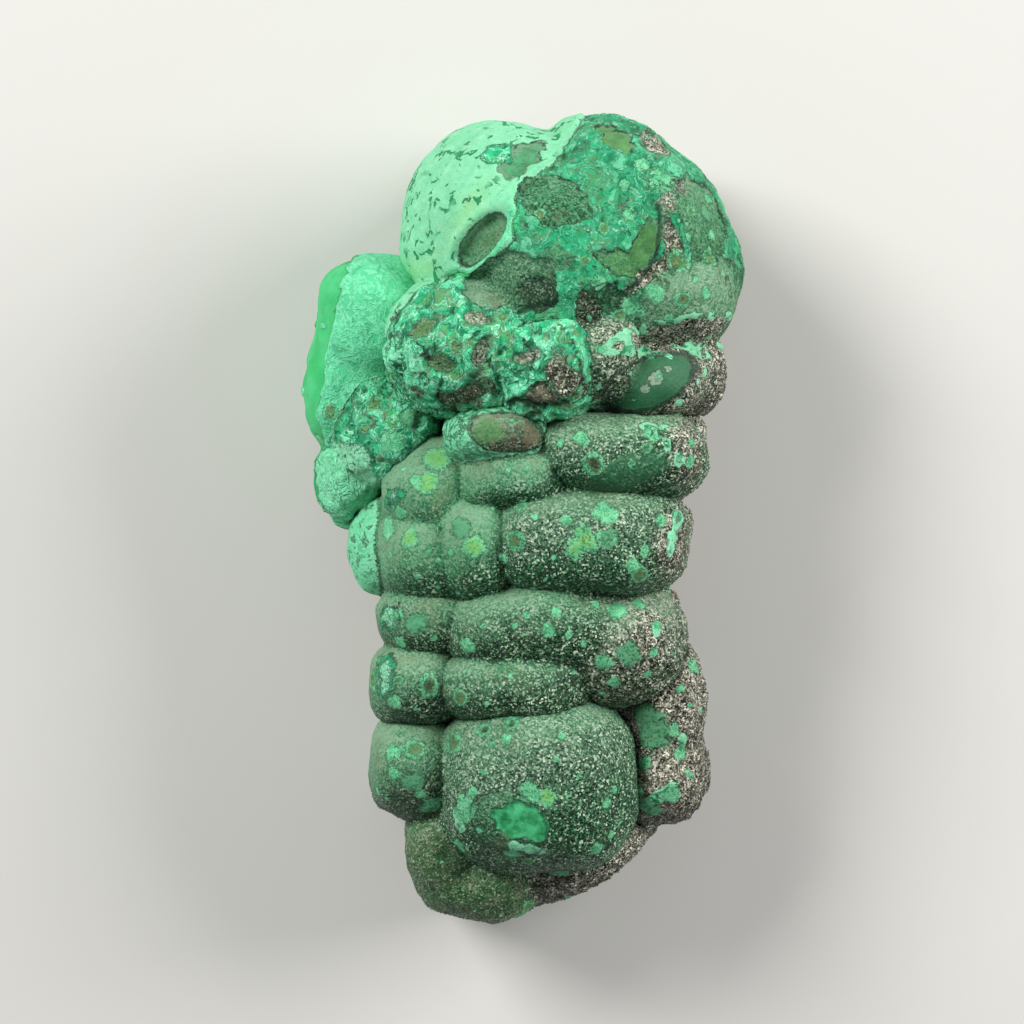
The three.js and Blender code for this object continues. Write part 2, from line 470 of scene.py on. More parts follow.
# Each kind of spot's core, pit and height. A core is yellow-green at 1, green at -1 and grey at -2.
SPOT_KINDS = {
    "mint": (0.0, 0.0, 0.08),
    "yellow": (1.0, 0.0, 0.12),
    "ring": (0.4, 0.6, 0.12),
    "pit": (0.2, 1.0, 0.14),
    "jade": (-1.0, 0.0, 0.04),
    "tan": (0.7, 0.45, 0.1),
    "ash": (-2.0, 0.0, 0.03),
}


def lay_spot(coat, points, centre, radius, kind, seed):
    """A round spot of paler growth: one less the distance over the radius, kept where it is the largest, with
    the spot's core and its pit. The ground is raised under it and sunk in its pit."""
    reach = np.linalg.norm(points - centre, axis=-1) / radius
    near = reach < 1.9
    if not near.any():
        return
    rise = 1 - reach[near] + 0.55 * waves(points[near], 0.8 * radius + 0.25, seed, 3)
    core, pit, tall = SPOT_KINDS[kind]
    wins = rise > coat["spot"][near]
    for channel, value in (("core", core), ("pit", pit)):
        coat[channel][near] = np.where(wins, value, coat[channel][near])
    coat["spot"][near] = np.maximum(coat["spot"][near], rise)
    coat["height"][near] += tall * smooth_step(rise, -0.05, 0.25) - 0.3 * pit * smooth_step(rise, 0.5, 0.8)


def lay_crust(coat, points, seed):
    """Crumbly crust: the points are pushed about by noise, and 1 - |noise| of the pushed points stands up as
    curled ridges, with small crumbs over them."""
    push = pushes(points, 2.4, seed, 2)
    curl = 1 - np.abs(waves(points + 1.5 * push, 2.1, seed + 4, 2)) * 2.6
    flake = 1 - np.abs(waves(points + 0.7 * push, 0.9, seed + 5, 2)) * 2.2
    broad = waves(points, 3.5, seed + 6, 2)
    coat["ridge"] = np.clip(0.16 + 0.45 * curl + 0.2 * flake + 0.4 * broad, 0, 1)
    relief = 0.4 * np.clip(curl, -0.2, 1) + 0.15 * np.clip(flake, -0.2, 1) + 0.7 * broad
    coat["height"] += coat["crust"] ** 2 * relief


def lay_lumps(coat, points, normals, seed):
    """Slow swells and small bumps, so that no lobe is a plain pillow, and on the sides knobs as well: round
    each of some random points the ground falls as the square of the distance, to a crease where two are
    equally near. Each knob is a little greyer or greener than the next."""
    coat["height"] += 0.42 * waves(points, 6.5, seed) + 0.2 * waves(points, 2.6, seed + 1, 2)
    nearest, second, tag = grains(points + 0.8 * waves(points, 3, seed + 2)[..., None], 5.2, seed + 3)
    side = (1 - smooth_step(normals[..., 2], 0.1, 0.5)) * (1 - smooth_step(points[..., 2], 13, 19))
    coat["height"] -= side * np.clip(1.9 * nearest**2, 0, 1.3)
    # The creases between knobs are marked, so that they get painted shade.
    mark(coat, "crease", 0.75 * side * (1 - smooth_step(second - nearest, 0, 0.1)))
    drift = 1.2 * tag - 0.6 + 1.1 * waves(points, 9.0, seed + 4, 2)
    coat["grey"] = np.clip(coat["grey"] + side * drift * (coat["druzy"] > 0.1), 0, 1)
    coat["bloom"] += 0.5 * side * (0.5 - tag)


def lay_druze(coat, points, seed):
    """Packed crystals: each cell of random points gets its own height. Grey druze is also broken into blocks,
    bigger cells with dark gaps where two of their points are equally near."""
    nearest, second, tag = grains(points, 0.5, seed)
    coarse = coat["druzy"] * (0.5 + 0.8 * coat["grey"])
    coat["height"] += coarse * (0.09 * (tag - 0.5) + 0.08 * np.clip(second - nearest, 0, 0.6))
    nearest, second, tag = grains(points + 0.3 * waves(points, 0.9, seed)[..., None], 1.3, seed + 1)
    block = coat["grey"] * coat["druzy"] * (coat["spot"] < 0)
    coat["height"] += block * 0.3 * (tag - 0.6)
    mark(coat, "line", 0.75 * block * (1 - smooth_step(second - nearest, 0, 0.22)))


def lay_matrix(coat, points, seed):
    """The brown matrix in a ragged strip above the broken back, and a broken pale fringe over it."""
    top = 2.6 + 7.5 * waves(points, 6, seed, 3) - points[..., 2]
    cover(coat, inside(top, 1.2), mint=0.0, crust=0.1, jade=0.0, druzy=0.75, grey=0.8, brown=0.9, smooth=0.0)
    coat["height"] += 0.25 * inside(top, 1.2) * waves(points, 1.6, seed + 1, 3)
    fringe = bell(top + 1.1, 0.7) * smooth_step(waves(points, 3.0, seed + 2, 3), -0.1, 0.3)
    cover(coat, fringe, mint=0.8, crust=0.3, grey=0.1, brown=0.1, jade=0.6)
    coat["height"] += 0.2 * fringe


def lay_painted_light(coat, normals, points, seed):
    """Painted light and shade: each lobe is paler where it faces up and to the left and higher up its lobe,
    and darker in the creases, on top of each finish's own paleness.
    """
    toward_light = unit(np.array([-0.35, 0.9, 0.1]))
    lit = 0.44 + 0.32 * dot(normals, toward_light) + 0.42 * coat["rise"] + 0.16 * waves(points, 3.4, seed, 3)
    coat["bloom"] = np.clip(lit + coat["bloom"], 0, 1) * (1 - 0.5 * coat["crease"])


# ---------------------------------------------------------------- each piece's own features

# Every feature's noise has a seed number of its own, so that a change to one leaves the others alone.

# Paths in X and Y: the edge of the pale cap on the crown, and that of the crust on the ear's smooth side.
CAP_EDGE = [
    (-17, 12), (-12.7, 21.1), (-10.6, 23.4), (-8.1, 24.6), (-6.3, 26), (-4.6, 25.3), (-2.7, 26.4),
    (-0.9, 28.5), (-0.5, 31.2), (-1, 33), (1.3, 34.8), (2.8, 36.3), (4.3, 38.5), (6.1, 40.6), (8, 46),
]
LAP_EDGE = [
    (-17.4, 28), (-18.3, 24.6), (-19.0, 22), (-19.3, 19.8), (-20.2, 17.6), (-20.9, 14), (-20.8, 10),
    (-20.2, 6), (-20.6, -4),
]
# Yellow tints on the cap: place, half sizes and turn.
CAP_TINTS = [((-5.6, 31.4), (4.4, 1.3), 54), ((-10.4, 26.2), (1.9, 1.2), 20)]
# Windows where the crust of the crown has gone: place, half sizes, turn, and what shows instead.
CROWN_WINDOWS = [
    ((3.2, 32.6), (3.6, 2.5), -18, {"druzy": 0.1, "bloom": -0.48}),
    ((-1.4, 24.4), (4.6, 2.6), 14, {"druzy": 0.2, "grey": 0.2, "bloom": 0.0}),
    ((1.4, 23.2), (2.1, 1.7), 0, {"druzy": 0.25, "grey": 0.4, "bloom": -0.3}),
    ((12.4, 28.1), (3.0, 1.3), 72, {"smooth": 0.4, "olive": 0.7, "bloom": 0.1}),
    ((9.7, 39.2), (1.9, 1.0), -35, {"smooth": 0.2, "olive": 0.7, "bloom": 0.2}),
    ((9.9, 26.3), (2.3, 1.2), -20, {"smooth": 0.2, "olive": 0.5, "bloom": 0.1}),
    ((13.6, 38.8), (1.7, 0.9), -40, {"grey": 0.9, "druzy": 0.8, "brown": 0.4}),
    ((15.0, 28.3), (0.8, 2.2), 12, {"grey": 0.9, "druzy": 0.7, "brown": 0.5}),
    ((12.6, 24.9), (2.6, 0.7), 38, {"grey": 0.8, "brown": 0.5, "druzy": 0.8}),
    ((16.2, 34.2), (1.1, 0.9), 0, {"grey": 0.9, "druzy": 0.5}),
    ((14.6, 32.6), (0.8, 1.6), 10, {"grey": 0.8, "brown": 0.3, "druzy": 0.5}),
    ((6.7, 21.4), (1.2, 2.0), 0, {"grey": 0.5, "brown": 0.5, "druzy": 0.6, "bloom": -0.2}),
    ((18.4, 30.8), (2.4, 4.4), 15, {"olive": 0.25, "druzy": 0.15, "bloom": 0.0}),
    ((9.2, 22.6), (2.4, 1.3), -30, {"druzy": 0.15, "bloom": -0.1}),
]
# Bare druzy patches among the raised crust of the bulges: place, half sizes, turn, and what else shows.
BULGE_PATCHES = [
    ((-4.2, 16.9), (0.8, 1.4), -20, {"brown": 0.5}), ((-5.4, 13.2), (1.6, 0.8), 10, {"brown": 0.6}),
    ((3.9, 15.4), (1.0, 2.0), 14, {"brown": 0.5}), ((2.0, 12.7), (2.1, 0.9), 8, {"brown": 0.7}),
    ((-8.4, 16.1), (1.3, 0.9), -15, {"olive": 0.6}), ((-9.8, 19.6), (1.3, 0.7), 30, {"olive": 0.8}),
    ((-4.6, 20.6), (1.5, 0.7), -12, {"brown": 0.5}), ((0.6, 16.9), (1.2, 0.7), 25, {"olive": 0.1}),
    ((-7.4, 12.4), (1.2, 0.6), -25, {"brown": 0.3}),
]
# Dark cracks in the crust of the bulges.
CRACKS = [
    [(0, 19.6), (2.7, 20.2), (4.7, 18.2), (5.7, 15.8), (5.9, 13.7), (4.7, 12.3), (1.7, 11.8), (-1.2, 12.5)],
    [(-3.2, 17.6), (-3.4, 16.2), (-2.5, 14.7), (-1.7, 12.3)],
    [(-5.9, 23.1), (-3.7, 21.3), (-1.6, 21.0), (0.8, 21.6), (3.2, 21.9)],
    [(-10, 16.9), (-8.6, 16.0), (-8.1, 14.7), (-8.7, 12.8)],
    [(0.2, 18.4), (1.2, 16.9), (0.8, 15.4)],
]
# Grey druzy ends of the rows on the right, and crumbly edges on the left: place and half height.
ROW_ENDS = [(16.8, 7.4, 3.2), (15.4, -2.4, 3.4), (12.6, -12.6, 3.0)]
LEFT_EDGES = [(-13.6, -9.6, 1.9), (-13.9, -16.0, 2.3), (-12.9, 2.6, 1.6)]
# Pale streaks at the right ends of the rows: place, half sizes and turn.
STREAKS = [
    (12.9, 9.4, 1.3, 0.8, -20), (14.7, 7.7, 0.45, 1.2, 10), (15.9, 6.5, 0.5, 1.0, -10),
    (15.6, -0.4, 0.5, 1.5, -14), (15.0, -2.8, 0.45, 1.4, -18), (13.5, -10.9, 0.5, 1.1, -8),
]
# The broken ledge over the smooth part of the second row.
LEDGE = [(10.3, 8.1), (12.4, 8.4), (13.8, 9.3), (14.9, 7.6), (14.6, 6.3), (15.1, 5.2), (14.2, 4.0)]
# Spots on each piece: place, radius and kind.
CROWN_SPOTS = [
    (13.5, 23.3, 1.15, "mint"), (16.0, 22.6, 1.05, "ring"), (15.8, 26.4, 1.25, "tan"),
    (19.1, 27.0, 1.1, "tan"), (10.9, 22.1, 1.3, "mint"), (9.6, 20.9, 0.9, "ring"),
    (20.9, 31.1, 0.9, "jade"), (17.5, 24.5, 0.5, "mint"), (12.2, 21.4, 0.6, "mint"),
    (14.2, 34.8, 1.5, "mint"), (18.6, 23.4, 0.7, "mint"), (13.8, 14.7, 0.9, "ash"),
    (12.3, 13.6, 0.5, "ash"), (15.0, 15.6, 0.45, "ash"), (7.9, 17.6, 0.6, "mint"), (9.3, 18.4, 0.4, "mint"),
    (5.4, 12.8, 1.1, "ring"), (19.6, 29.4, 0.7, "mint"), (17.2, 31.8, 0.8, "ring"),
    (19.4, 33.4, 0.7, "mint"), (12.3, 36.6, 0.9, "mint"), (11.0, 31.4, 0.8, "mint"),
    (8.2, 29.8, 0.7, "tan"), (6.4, 26.4, 0.6, "tan"), (20.4, 25.4, 0.5, "mint"), (14.8, 20.9, 0.6, "mint"),
    (16.8, 28.9, 0.5, "mint"), (10.5, 34.4, 0.7, "mint"), (7.6, 24.2, 0.9, "mint"), (1.8, 31.2, 0.6, "tan"),
    (-2.2, 20.4, 0.8, "tan"), (-6.8, 17.6, 0.9, "ring"),
]
COLUMN_SPOTS = [
    (7.1, 5.8, 1.35, "pit"), (5.9, 8.4, 0.9, "mint"), (3.9, 7.9, 0.5, "mint"), (10.9, 5.9, 0.45, "ring"),
    (13.2, 8.9, 0.9, "mint"), (12.4, 7.6, 0.6, "ring"), (14.6, 9.6, 0.5, "mint"), (17.2, 8.2, 0.6, "mint"),
    (-0.7, -1.8, 1.3, "ring"), (6.4, -1.6, 1.5, "yellow"), (5.3, -2.8, 1.1, "yellow"),
    (8.4, 0.9, 1.4, "mint"), (8.7, -1.8, 1.1, "jade"), (-0.2, 1.6, 0.85, "ring"), (1.3, 0.6, 0.45, "mint"),
    (4.4, 0.2, 0.7, "mint"), (11.8, -5.2, 1.1, "ring"), (11.0, -4.2, 0.8, "mint"),
    (12.4, -3.0, 0.6, "mint"), (14.2, 0.4, 0.9, "mint"), (15.6, 0.9, 0.6, "mint"),
    (3.1, -3.6, 0.35, "mint"), (-1.9, -3.6, 0.5, "mint"), (-8.7, 6.6, 1.6, "yellow"),
    (-9.6, 3.9, 1.3, "yellow"), (-11, 4.4, 0.7, "mint"), (-8.2, -0.6, 0.7, "pit"),
    (-11.4, -1.6, 1.0, "yellow"), (-9.6, -2.8, 0.4, "mint"), (-6.4, -0.6, 1.1, "jade"),
    (-11.8, -3.6, 0.6, "ring"), (-5.0, -2.4, 1.3, "yellow"), (-7.2, -3.0, 0.5, "mint"),
    (-12.4, 1.0, 0.8, "mint"), (-7.6, 1.2, 0.4, "pit"), (2.7, -11.0, 0.8, "mint"), (9.7, -9.0, 1.2, "mint"),
    (12.1, -8.5, 0.9, "mint"), (8.2, -14.3, 1.0, "mint"), (10.8, -13.4, 1.4, "jade"),
    (0.5, -9.2, 0.45, "mint"), (4.8, -11.4, 0.5, "mint"), (6.2, -12.4, 0.4, "mint"),
    (-0.9, -10.6, 0.4, "mint"), (7.6, -8.2, 0.6, "mint"), (3.3, -9.1, 0.6, "mint"),
    (-5.4, -12.7, 1.0, "mint"), (-12.6, -9.6, 0.9, "mint"), (-12.4, -12.2, 0.9, "mint"),
    (-9.6, -16.9, 1.3, "pit"), (-6.2, -18.0, 0.9, "ring"), (-12.6, -16.2, 0.6, "ring"),
    (-1.2, -15.4, 0.4, "mint"), (-10.8, -10.2, 1.2, "jade"), (17.0, 6.2, 0.8, "mint"),
    (-13.6, -0.6, 1.4, "mint"), (13.4, -13.2, 0.6, "mint"), (9.4, -16.4, 0.7, "mint"),
    (12.6, -15.6, 0.5, "mint"), (13.6, -10.6, 0.6, "mint"), (-3.6, -18.6, 0.35, "mint"),
    (-13.2, -18.2, 0.9, "mint"),
]
FOOT_SPOTS = [
    (-7.1, -22.9, 1.4, "ring"), (-4.0, -21.2, 0.9, "pit"), (-1.1, -20.8, 0.9, "pit"),
    (-1.8, -22.2, 0.7, "mint"), (-11.0, -23.5, 1.2, "ring"), (-12.6, -21.8, 0.6, "ring"),
    (-13.4, -23.6, 1.1, "mint"), (-11.3, -26.8, 1.3, "jade"), (-13.2, -25.8, 0.8, "mint"),
    (-5.9, -29.3, 1.6, "mint"), (-5.0, -27.6, 0.7, "mint"), (0.8, -27.4, 1.2, "mint"),
    (2.6, -27.9, 1.0, "yellow"), (-1.0, -34.0, 1.0, "mint"), (0.6, -34.6, 0.7, "tan"),
    (-3.0, -22.8, 0.4, "mint"), (7.6, -33.2, 0.8, "mint"), (9.0, -32.0, 0.5, "mint"),
    (-6.4, -33.6, 0.9, "mint"), (-9.4, -29.2, 1.2, "mint"), (-10.4, -28.0, 0.7, "mint"),
    (8.6, -28.6, 0.7, "mint"), (9.6, -27.4, 0.5, "mint"), (4.0, -21.8, 0.45, "mint"),
    (-4.0, -25.4, 0.4, "mint"), (3.4, -24.2, 0.35, "mint"), (5.8, -25.8, 0.35, "mint"),
    (-4.6, -31.4, 0.5, "mint"),
]
FLANK_SPOTS = [
    (13.4, -21.2, 2.4, "jade"), (12.6, -19.4, 1.4, "jade"), (12.5, -25.0, 1.0, "mint"),
    (16.4, -23.8, 0.8, "mint"), (15.7, -21.6, 0.6, "mint"), (13.3, -29.6, 1.3, "mint"),
    (15.4, -28.2, 1.0, "mint"), (17.9, -15.0, 0.9, "mint"), (16.6, -13.0, 0.8, "mint"),
    (17.4, -12.2, 0.6, "mint"), (18.6, -19.6, 0.5, "mint"), (16.2, -17.2, 0.5, "mint"),
    (12.0, -28.0, 0.6, "mint"), (17.6, -26.4, 0.5, "mint"),
]
EAR_SPOTS = [
    (-12.8, 13.2, 1.0, "mint"), (-13.6, 8.4, 1.3, "mint"), (-14.4, 6.4, 0.8, "ring"),
    (-16.2, 9.8, 0.6, "tan"), (-12.0, 10.6, 0.9, "mint"), (-15.2, 12.2, 0.8, "tan"),
    (-19.6, 11.4, 0.9, "tan"), (-17.6, 5.4, 0.6, "ring"),
]


def lay_spots(coat, points, spots, seed):
    """The spots that have a place of their own on the front."""
    for number, (x, y, radius, kind) in enumerate(spots):
        lay_spot(coat, points, top_point(points, x, y), radius, kind, seed + number)


def strew_spots(coat, points, normals, count, seed):
    """Random spots: small flecks on the front, and larger spots too on the sides."""
    rng = np.random.default_rng(seed)
    free = (points[..., 2] > 2) & (coat["mint"] < 0.4) & (coat["crease"] < 0.5) & (coat["crust"] < 0.5)
    places, ups = points[free], normals[free][:, 2]
    for number, pick in enumerate(rng.integers(0, len(places), count)):
        kind = rng.choice(["mint", "mint", "mint", "jade", "ring", "tan"])
        radius = rng.uniform(0.18, 0.42) if ups[pick] > 0.5 else 0.3 + 0.9 * rng.uniform() ** 2
        lay_spot(coat, points, places[pick], radius, kind if radius > 0.5 else "mint", seed + number)


def lay_window(coat, points, normals, place, halves, turn, seed, sink=0.16, rim=0.0, outline=1.0, **values):
    """A place where the crust has gone: its coverings, a sunk floor with a dark outline, and a raised rim."""
    edge = oval(points, normals, place, halves, turn, 0.8, seed)
    amount = inside(edge, 0.5)
    cover(coat, amount, mint=0.0, jade=0.0, crust=0.0, **values)
    mark(coat, "window", outline * inside(edge))
    coat["height"] += rim * bell(edge + 0.4, 0.3) - sink * smooth_step(edge, -0.15, 0.25)


def lay_lace(coat, points, normals, strips, seed):
    """Ragged strips of pale crust, raised a little: each has its place, half sizes and turn."""
    for number, (x, y, wide, tall, turn) in enumerate(strips):
        lace = oval(points, normals, (x, y), (wide, tall), turn, 0.7, seed + 10 * number)
        cover(coat, inside(lace, 0.6), mint=0.85, crust=0.4, brown=0.0)
        coat["height"] += 0.15 * inside(lace, 0.6)


def lay_cap(coat, points, normals):
    """The pale cap over the upper left of the crown: a thick crust with a ragged edge."""
    edge = beside(CAP_EDGE, points) + 0.5 * waves(points, 2.2, 31, 3)
    edge = edge - 0.35 * np.maximum(9 - points[..., 2], 0)
    cover(coat, inside(edge), mint=1.0, crust=0.0, druzy=0.0, grey=0.0, brown=0.0, jade=0.0)
    coat["height"] += 0.28 * smooth_step(edge, -0.05, 0.3) + 0.16 * bell(edge - 0.5, 0.45)
    for number, (place, halves, turn) in enumerate(CAP_TINTS):
        tint = oval(points, normals, place, halves, turn, 0.8, 36 + number)
        cover(coat, inside(edge, 0.5) * inside(tint, 2.4), olive=0.4)


def lay_eye(coat, points, normals):
    """The long oval hollow in the cap with its green-grey floor and its thick rim, a flat green window with a
    pale rim, and a crumbly patch beside it."""
    edge = oval(points, normals, (-3.9, 28.8), (3.2, 1.6), 48, 0.12, 41)
    floor = smooth_step(edge, -0.1, 0.35)
    coat["height"] += 0.5 * bell(edge + 0.5, 0.45) - 1.0 * floor
    cover(coat, inside(edge, 0.5), mint=0.0, crust=0.15, brown=0.15, druzy=0.1, olive=0.3, bloom=0.3,
          smooth=0.3)
    mark(coat, "window", inside(edge))
    rim = bell(edge + 0.45, 0.4) * smooth_step(points[..., 0] - points[..., 1] + 33.2, -0.5, 1.5)
    cover(coat, rim, jade=1.0)
    lay_window(coat, points, normals, (0.2, 37.1), (2.7, 1.2), 38, 42, 0.3, 0.15, bloom=0.3, druzy=-0.3,
               brown=-0.6, grey=0.0, smooth=0.5, bright=0.5)
    crumbs = oval(points, normals, (-2.4, 37.4), (1.7, 1.2), 20, 0.6, 43)
    cover(coat, inside(crumbs, 0.5), mint=0.1, crust=1.0)
    coat["height"] -= 0.25 * smooth_step(crumbs, -0.1, 0.2)


def dress_crown(coat, points, normals):
    """The crown's own features: the cap and its hollows, the windows, the bulges' patches and cracks, the
    step beside the crust, the cup and the sooty patch on the second bulge, the leaf with its lace, and the
    druzy band with its fringe over it."""
    lay_cap(coat, points, normals)
    lay_eye(coat, points, normals)
    for number, (place, halves, turn, values) in enumerate(CROWN_WINDOWS):
        lay_window(coat, points, normals, place, halves, turn, 50 + number, 0.28, **values)
    for number, (place, halves, turn, values) in enumerate(BULGE_PATCHES):
        lay_window(coat, points, normals, place, halves, turn, 110 + number, 0.12, 0.15, 0.0, druzy=0.6,
                   grey=0.55, bloom=0.3, **values)
    for number, path in enumerate(CRACKS):
        away = np.abs(beside(path, points)) + 0.35 * waves(points, 1.2, 130 + number, 2)
        crack = bell(away, 0.22) * (normals[..., 2] > 0)
        mark(coat, "line", crack)
        coat["height"] -= 0.3 * crack
    step = beside([(13.6, 32.4), (13.9, 30), (13.6, 27.4), (12.4, 25), (10.4, 23.2)], points)
    coat["height"] += 0.4 * smooth_step(step, -0.3, 0.3) * np.exp(-np.abs(step) / 2.5) * (normals[..., 2] > 0)
    mark(coat, "line", bell(step, 0.28) * (normals[..., 2] > 0))
    cup = oval(points, normals, (1.9, 16.0), (3.6, 3.4), 0, 0.5, 75)
    coat["height"] += 0.5 * bell(cup, 0.55) - 0.45 * smooth_step(cup, 0, 1)
    soot = oval(points, normals, (4.3, 14.4), (2.6, 1.3), -35, 0.5, 76)
    cover(coat, inside(soot, 0.5), crust=0.0, druzy=0.95, grey=0.7, bloom=-0.1)
    shelf = beside([(8.5, 11.2), (10.4, 12), (13.6, 13.2), (16, 14.6), (17.6, 16.6)], points)
    leaf = oval(points, normals, (13.2, 14.3), (5.2, 2.5), 26, 0.35, 71)
    off_leaf = coat["smooth"] * (1 - inside(leaf, 0.5)) * (points[..., 1] < 18)
    cover(coat, off_leaf, smooth=0.0, druzy=1.0, grey=0.8, bloom=0.3)
    mark(coat, "window", inside(leaf))
    coat["height"] -= 0.3 * smooth_step(leaf, -0.2, 0.2)
    mark(coat, "line", bell(leaf, 0.3))
    lace = bell(leaf + 0.55, 0.35) * smooth_step(waves(points, 1.4, 73, 2), -0.25, 0.2)
    cover(coat, lace * (shelf < 3), mint=0.9)
    band = oval(points, normals, (16.8, 19.2), (5.6, 1.3), 10, 0.7, 72)
    cover(coat, inside(band, 0.5), druzy=1.0, grey=0.8, crust=0.0, smooth=0.0, bloom=0.7)
    fringe = bell(band + 0.4, 0.5) * smooth_step(waves(points, 1.5, 74, 2), -0.35, 0.15)
    cover(coat, fringe, mint=0.85)
    coat["height"] += 0.2 * fringe
    lay_spots(coat, points, CROWN_SPOTS, 300)
    strew_spots(coat, points, normals, 40, 5)


def dress_ear(coat, points, normals):
    """The ear's smooth bright-green outer edge, the ragged mint crust that laps over it, low down and in
    islands too, and a rough tip."""
    lap = beside(LAP_EDGE, points) + 1.5 * waves(points, 3.4, 81, 4)
    pale = smooth_step(coat["mint"], 0.3, 0.6)
    cover(coat, pale, jade=1.0, mint=0.0, crust=0.1)
    lap = np.maximum(lap, 7 - points[..., 2] + 4 * waves(points, 4.5, 83, 4))
    lap = np.maximum(lap, 5 * waves(points, 3.0, 84, 3) - 2.2)
    cover(coat, pale * inside(lap), mint=1.0)
    coat["height"] += 0.22 * pale * smooth_step(lap, -0.05, 0.3)
    rough = oval(points, normals, (-18.3, 4.2), (3.6, 4.6), 0, 0.5, 82)
    cover(coat, inside(rough, 1.2), mint=0.62, crust=0.9)
    lay_spots(coat, points, EAR_SPOTS, 340)
    strew_spots(coat, points, normals, 12, 6)


def dress_column(coat, points, normals):
    """The druze that thickens towards each row's lower right, the stained oval in its crust, the smooth
    part of the second row under its ledge, the grey row ends, the crumbly left edges, the pale streaks and
    the spots."""
    thicken(coat, points, normals)
    stain = oval(points, normals, (-1.6, 9.1), (3.7, 2.0), -6, 0.2, 91)
    around = smooth_step(coat["brown"], 0.2, 0.5) * (1 - inside(stain, 0.5))
    cover(coat, around, mint=0.75, crust=0.5, brown=0.1, grey=0.0, smooth=0.0, jade=0.5)
    half = oval(points, normals, (-3.6, 9.4), (2.0, 1.6), 20, 0.6, 90)
    cover(coat, inside(half, 1.5) * inside(stain, 0.5), olive=0.6, brown=0.4)
    mark(coat, "window", inside(stain))
    smooth = oval(points, normals, (10.9, 5.1), (4.9, 1.9), 20, 0.5, 92)
    cover(coat, inside(smooth, 0.9), smooth=0.62, druzy=0.35, grey=0.0, bloom=-0.05)
    for number, (x, y, half) in enumerate(ROW_ENDS):
        end = oval(points, normals, (x, y), (1.8, half), 0, 0.9, 94 + number)
        cover(coat, inside(end, 1.6), smooth=0.0, druzy=0.9, grey=0.85, bloom=0.1)
    for number, (x, y, half) in enumerate(LEFT_EDGES):
        edge = oval(points, normals, (x, y), (1.1, half), 0, 0.9, 97 + number)
        cover(coat, inside(edge, 1.2), mint=0.58, crust=0.8)
    lay_lace(coat, points, normals, STREAKS, 93)
    away = np.abs(beside(LEDGE, points)) + 0.4 * waves(points, 0.9, 98, 2)
    ledge = bell(away, 0.2) * (normals[..., 2] > 0)
    mark(coat, "line", ledge)
    coat["height"] -= 0.25 * ledge
    lay_spots(coat, points, COLUMN_SPOTS, 380)
    strew_spots(coat, points, normals, 60, 7)


def dress_foot(coat, points, normals):
    """The emerald window near the foot, in its dark oval, the pale strips under it and the spots."""
    thicken(coat, points, normals)
    ring = oval(points, normals, (-1.4, -30.8), (4.1, 3.2), -30, 0.15, 101)
    cover(coat, inside(ring, 0.5), druzy=0.3, grey=0.15, bloom=-0.1)
    mark(coat, "line", 0.8 * bell(ring, 0.25))
    lay_window(coat, points, normals, (-0.1, -30.5), (2.8, 1.8), -14, 102, 0.3, smooth=1.0, druzy=0.0,
               grey=0.0, bright=1.0)
    lay_lace(coat, points, normals, [(0.4, -33.2, 2.2, 0.5, -8), (-6.6, -30.6, 0.6, 1.4, 20)], 104)
    lay_spots(coat, points, FOOT_SPOTS, 440)
    strew_spots(coat, points, normals, 40, 8)


def dress_flank(coat, points, normals):
    """The flank's pale strip and its spots."""
    lay_lace(coat, points, normals, [(14.3, -28.1, 2.6, 0.6, 34), (16.6, -22.6, 0.5, 1.2, 10)], 106)
    lay_spots(coat, points, FLANK_SPOTS, 480)
    strew_spots(coat, points, normals, 30, 9)


def thicken(coat, points, normals):
    """More druze on each lobe's lower right, and finer growth on its upper left."""
    lower = 0.35 * dot(normals, unit(np.array([0.45, -0.8, 0.0]))) - 0.9 * coat["rise"]
    lower += 0.3 * waves(points, 4, 95, 2)
    coat["druzy"] = np.clip(coat["druzy"] + 0.5 * smooth_step(lower, -0.1, 0.6) * (coat["mint"] < 0.3), 0, 1)
    coat["druzy"] *= 1 - 0.5 * smooth_step(-lower, 0.1, 0.7) * (coat["grey"] < 0.5)


DRESS = {
    "crown": dress_crown,
    "ear": dress_ear,
    "column": dress_column,
    "foot": dress_foot,
    "flank": dress_flank,
}
# How much softer than usual each piece's own creases are.
SOFTER = {"crown": 2.0, "ear": 5.0, "column": 1.0, "foot": 1.5, "flank": 3.0}


# ---------------------------------------------------------------- meshes


def belong(piece, material):
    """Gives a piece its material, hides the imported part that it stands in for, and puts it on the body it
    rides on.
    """
    piece.data.materials.append(bpy.data.materials[material])
    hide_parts(NODE)
    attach(piece, BODY)


def put_mesh(name, vertices, corners, sides, attributes, smooth, uv=None):
    """Makes a mesh object: corners are the vertex numbers of every face in turn, sides each face's count."""
    mesh = bpy.data.meshes.new(name)
    mesh.vertices.add(len(vertices))
    mesh.vertices.foreach_set("co", (vertices * MM).astype(np.float32).ravel())
    mesh.loops.add(len(corners))
    mesh.loops.foreach_set("vertex_index", corners.astype(np.int32))
    mesh.polygons.add(len(sides))
    starts = np.concatenate([[0], np.cumsum(sides)[:-1]])
    mesh.polygons.foreach_set("loop_start", starts.astype(np.int32))
    mesh.polygons.foreach_set("use_smooth", np.full(len(sides), smooth))
    for key, values in attributes.items():
        layer = mesh.attributes.new(key, "FLOAT", "POINT")
        layer.data.foreach_set("value", values.astype(np.float32).ravel())
    if uv is not None:
        mesh.uv_layers.new(name="OFBake").data.foreach_set("uv", uv.astype(np.float32).ravel())
    mesh.update(calc_edges=True)
    mesh.validate()
    piece = bpy.data.objects.new(name, mesh)
    bpy.context.scene.collection.objects.link(piece)
    return piece


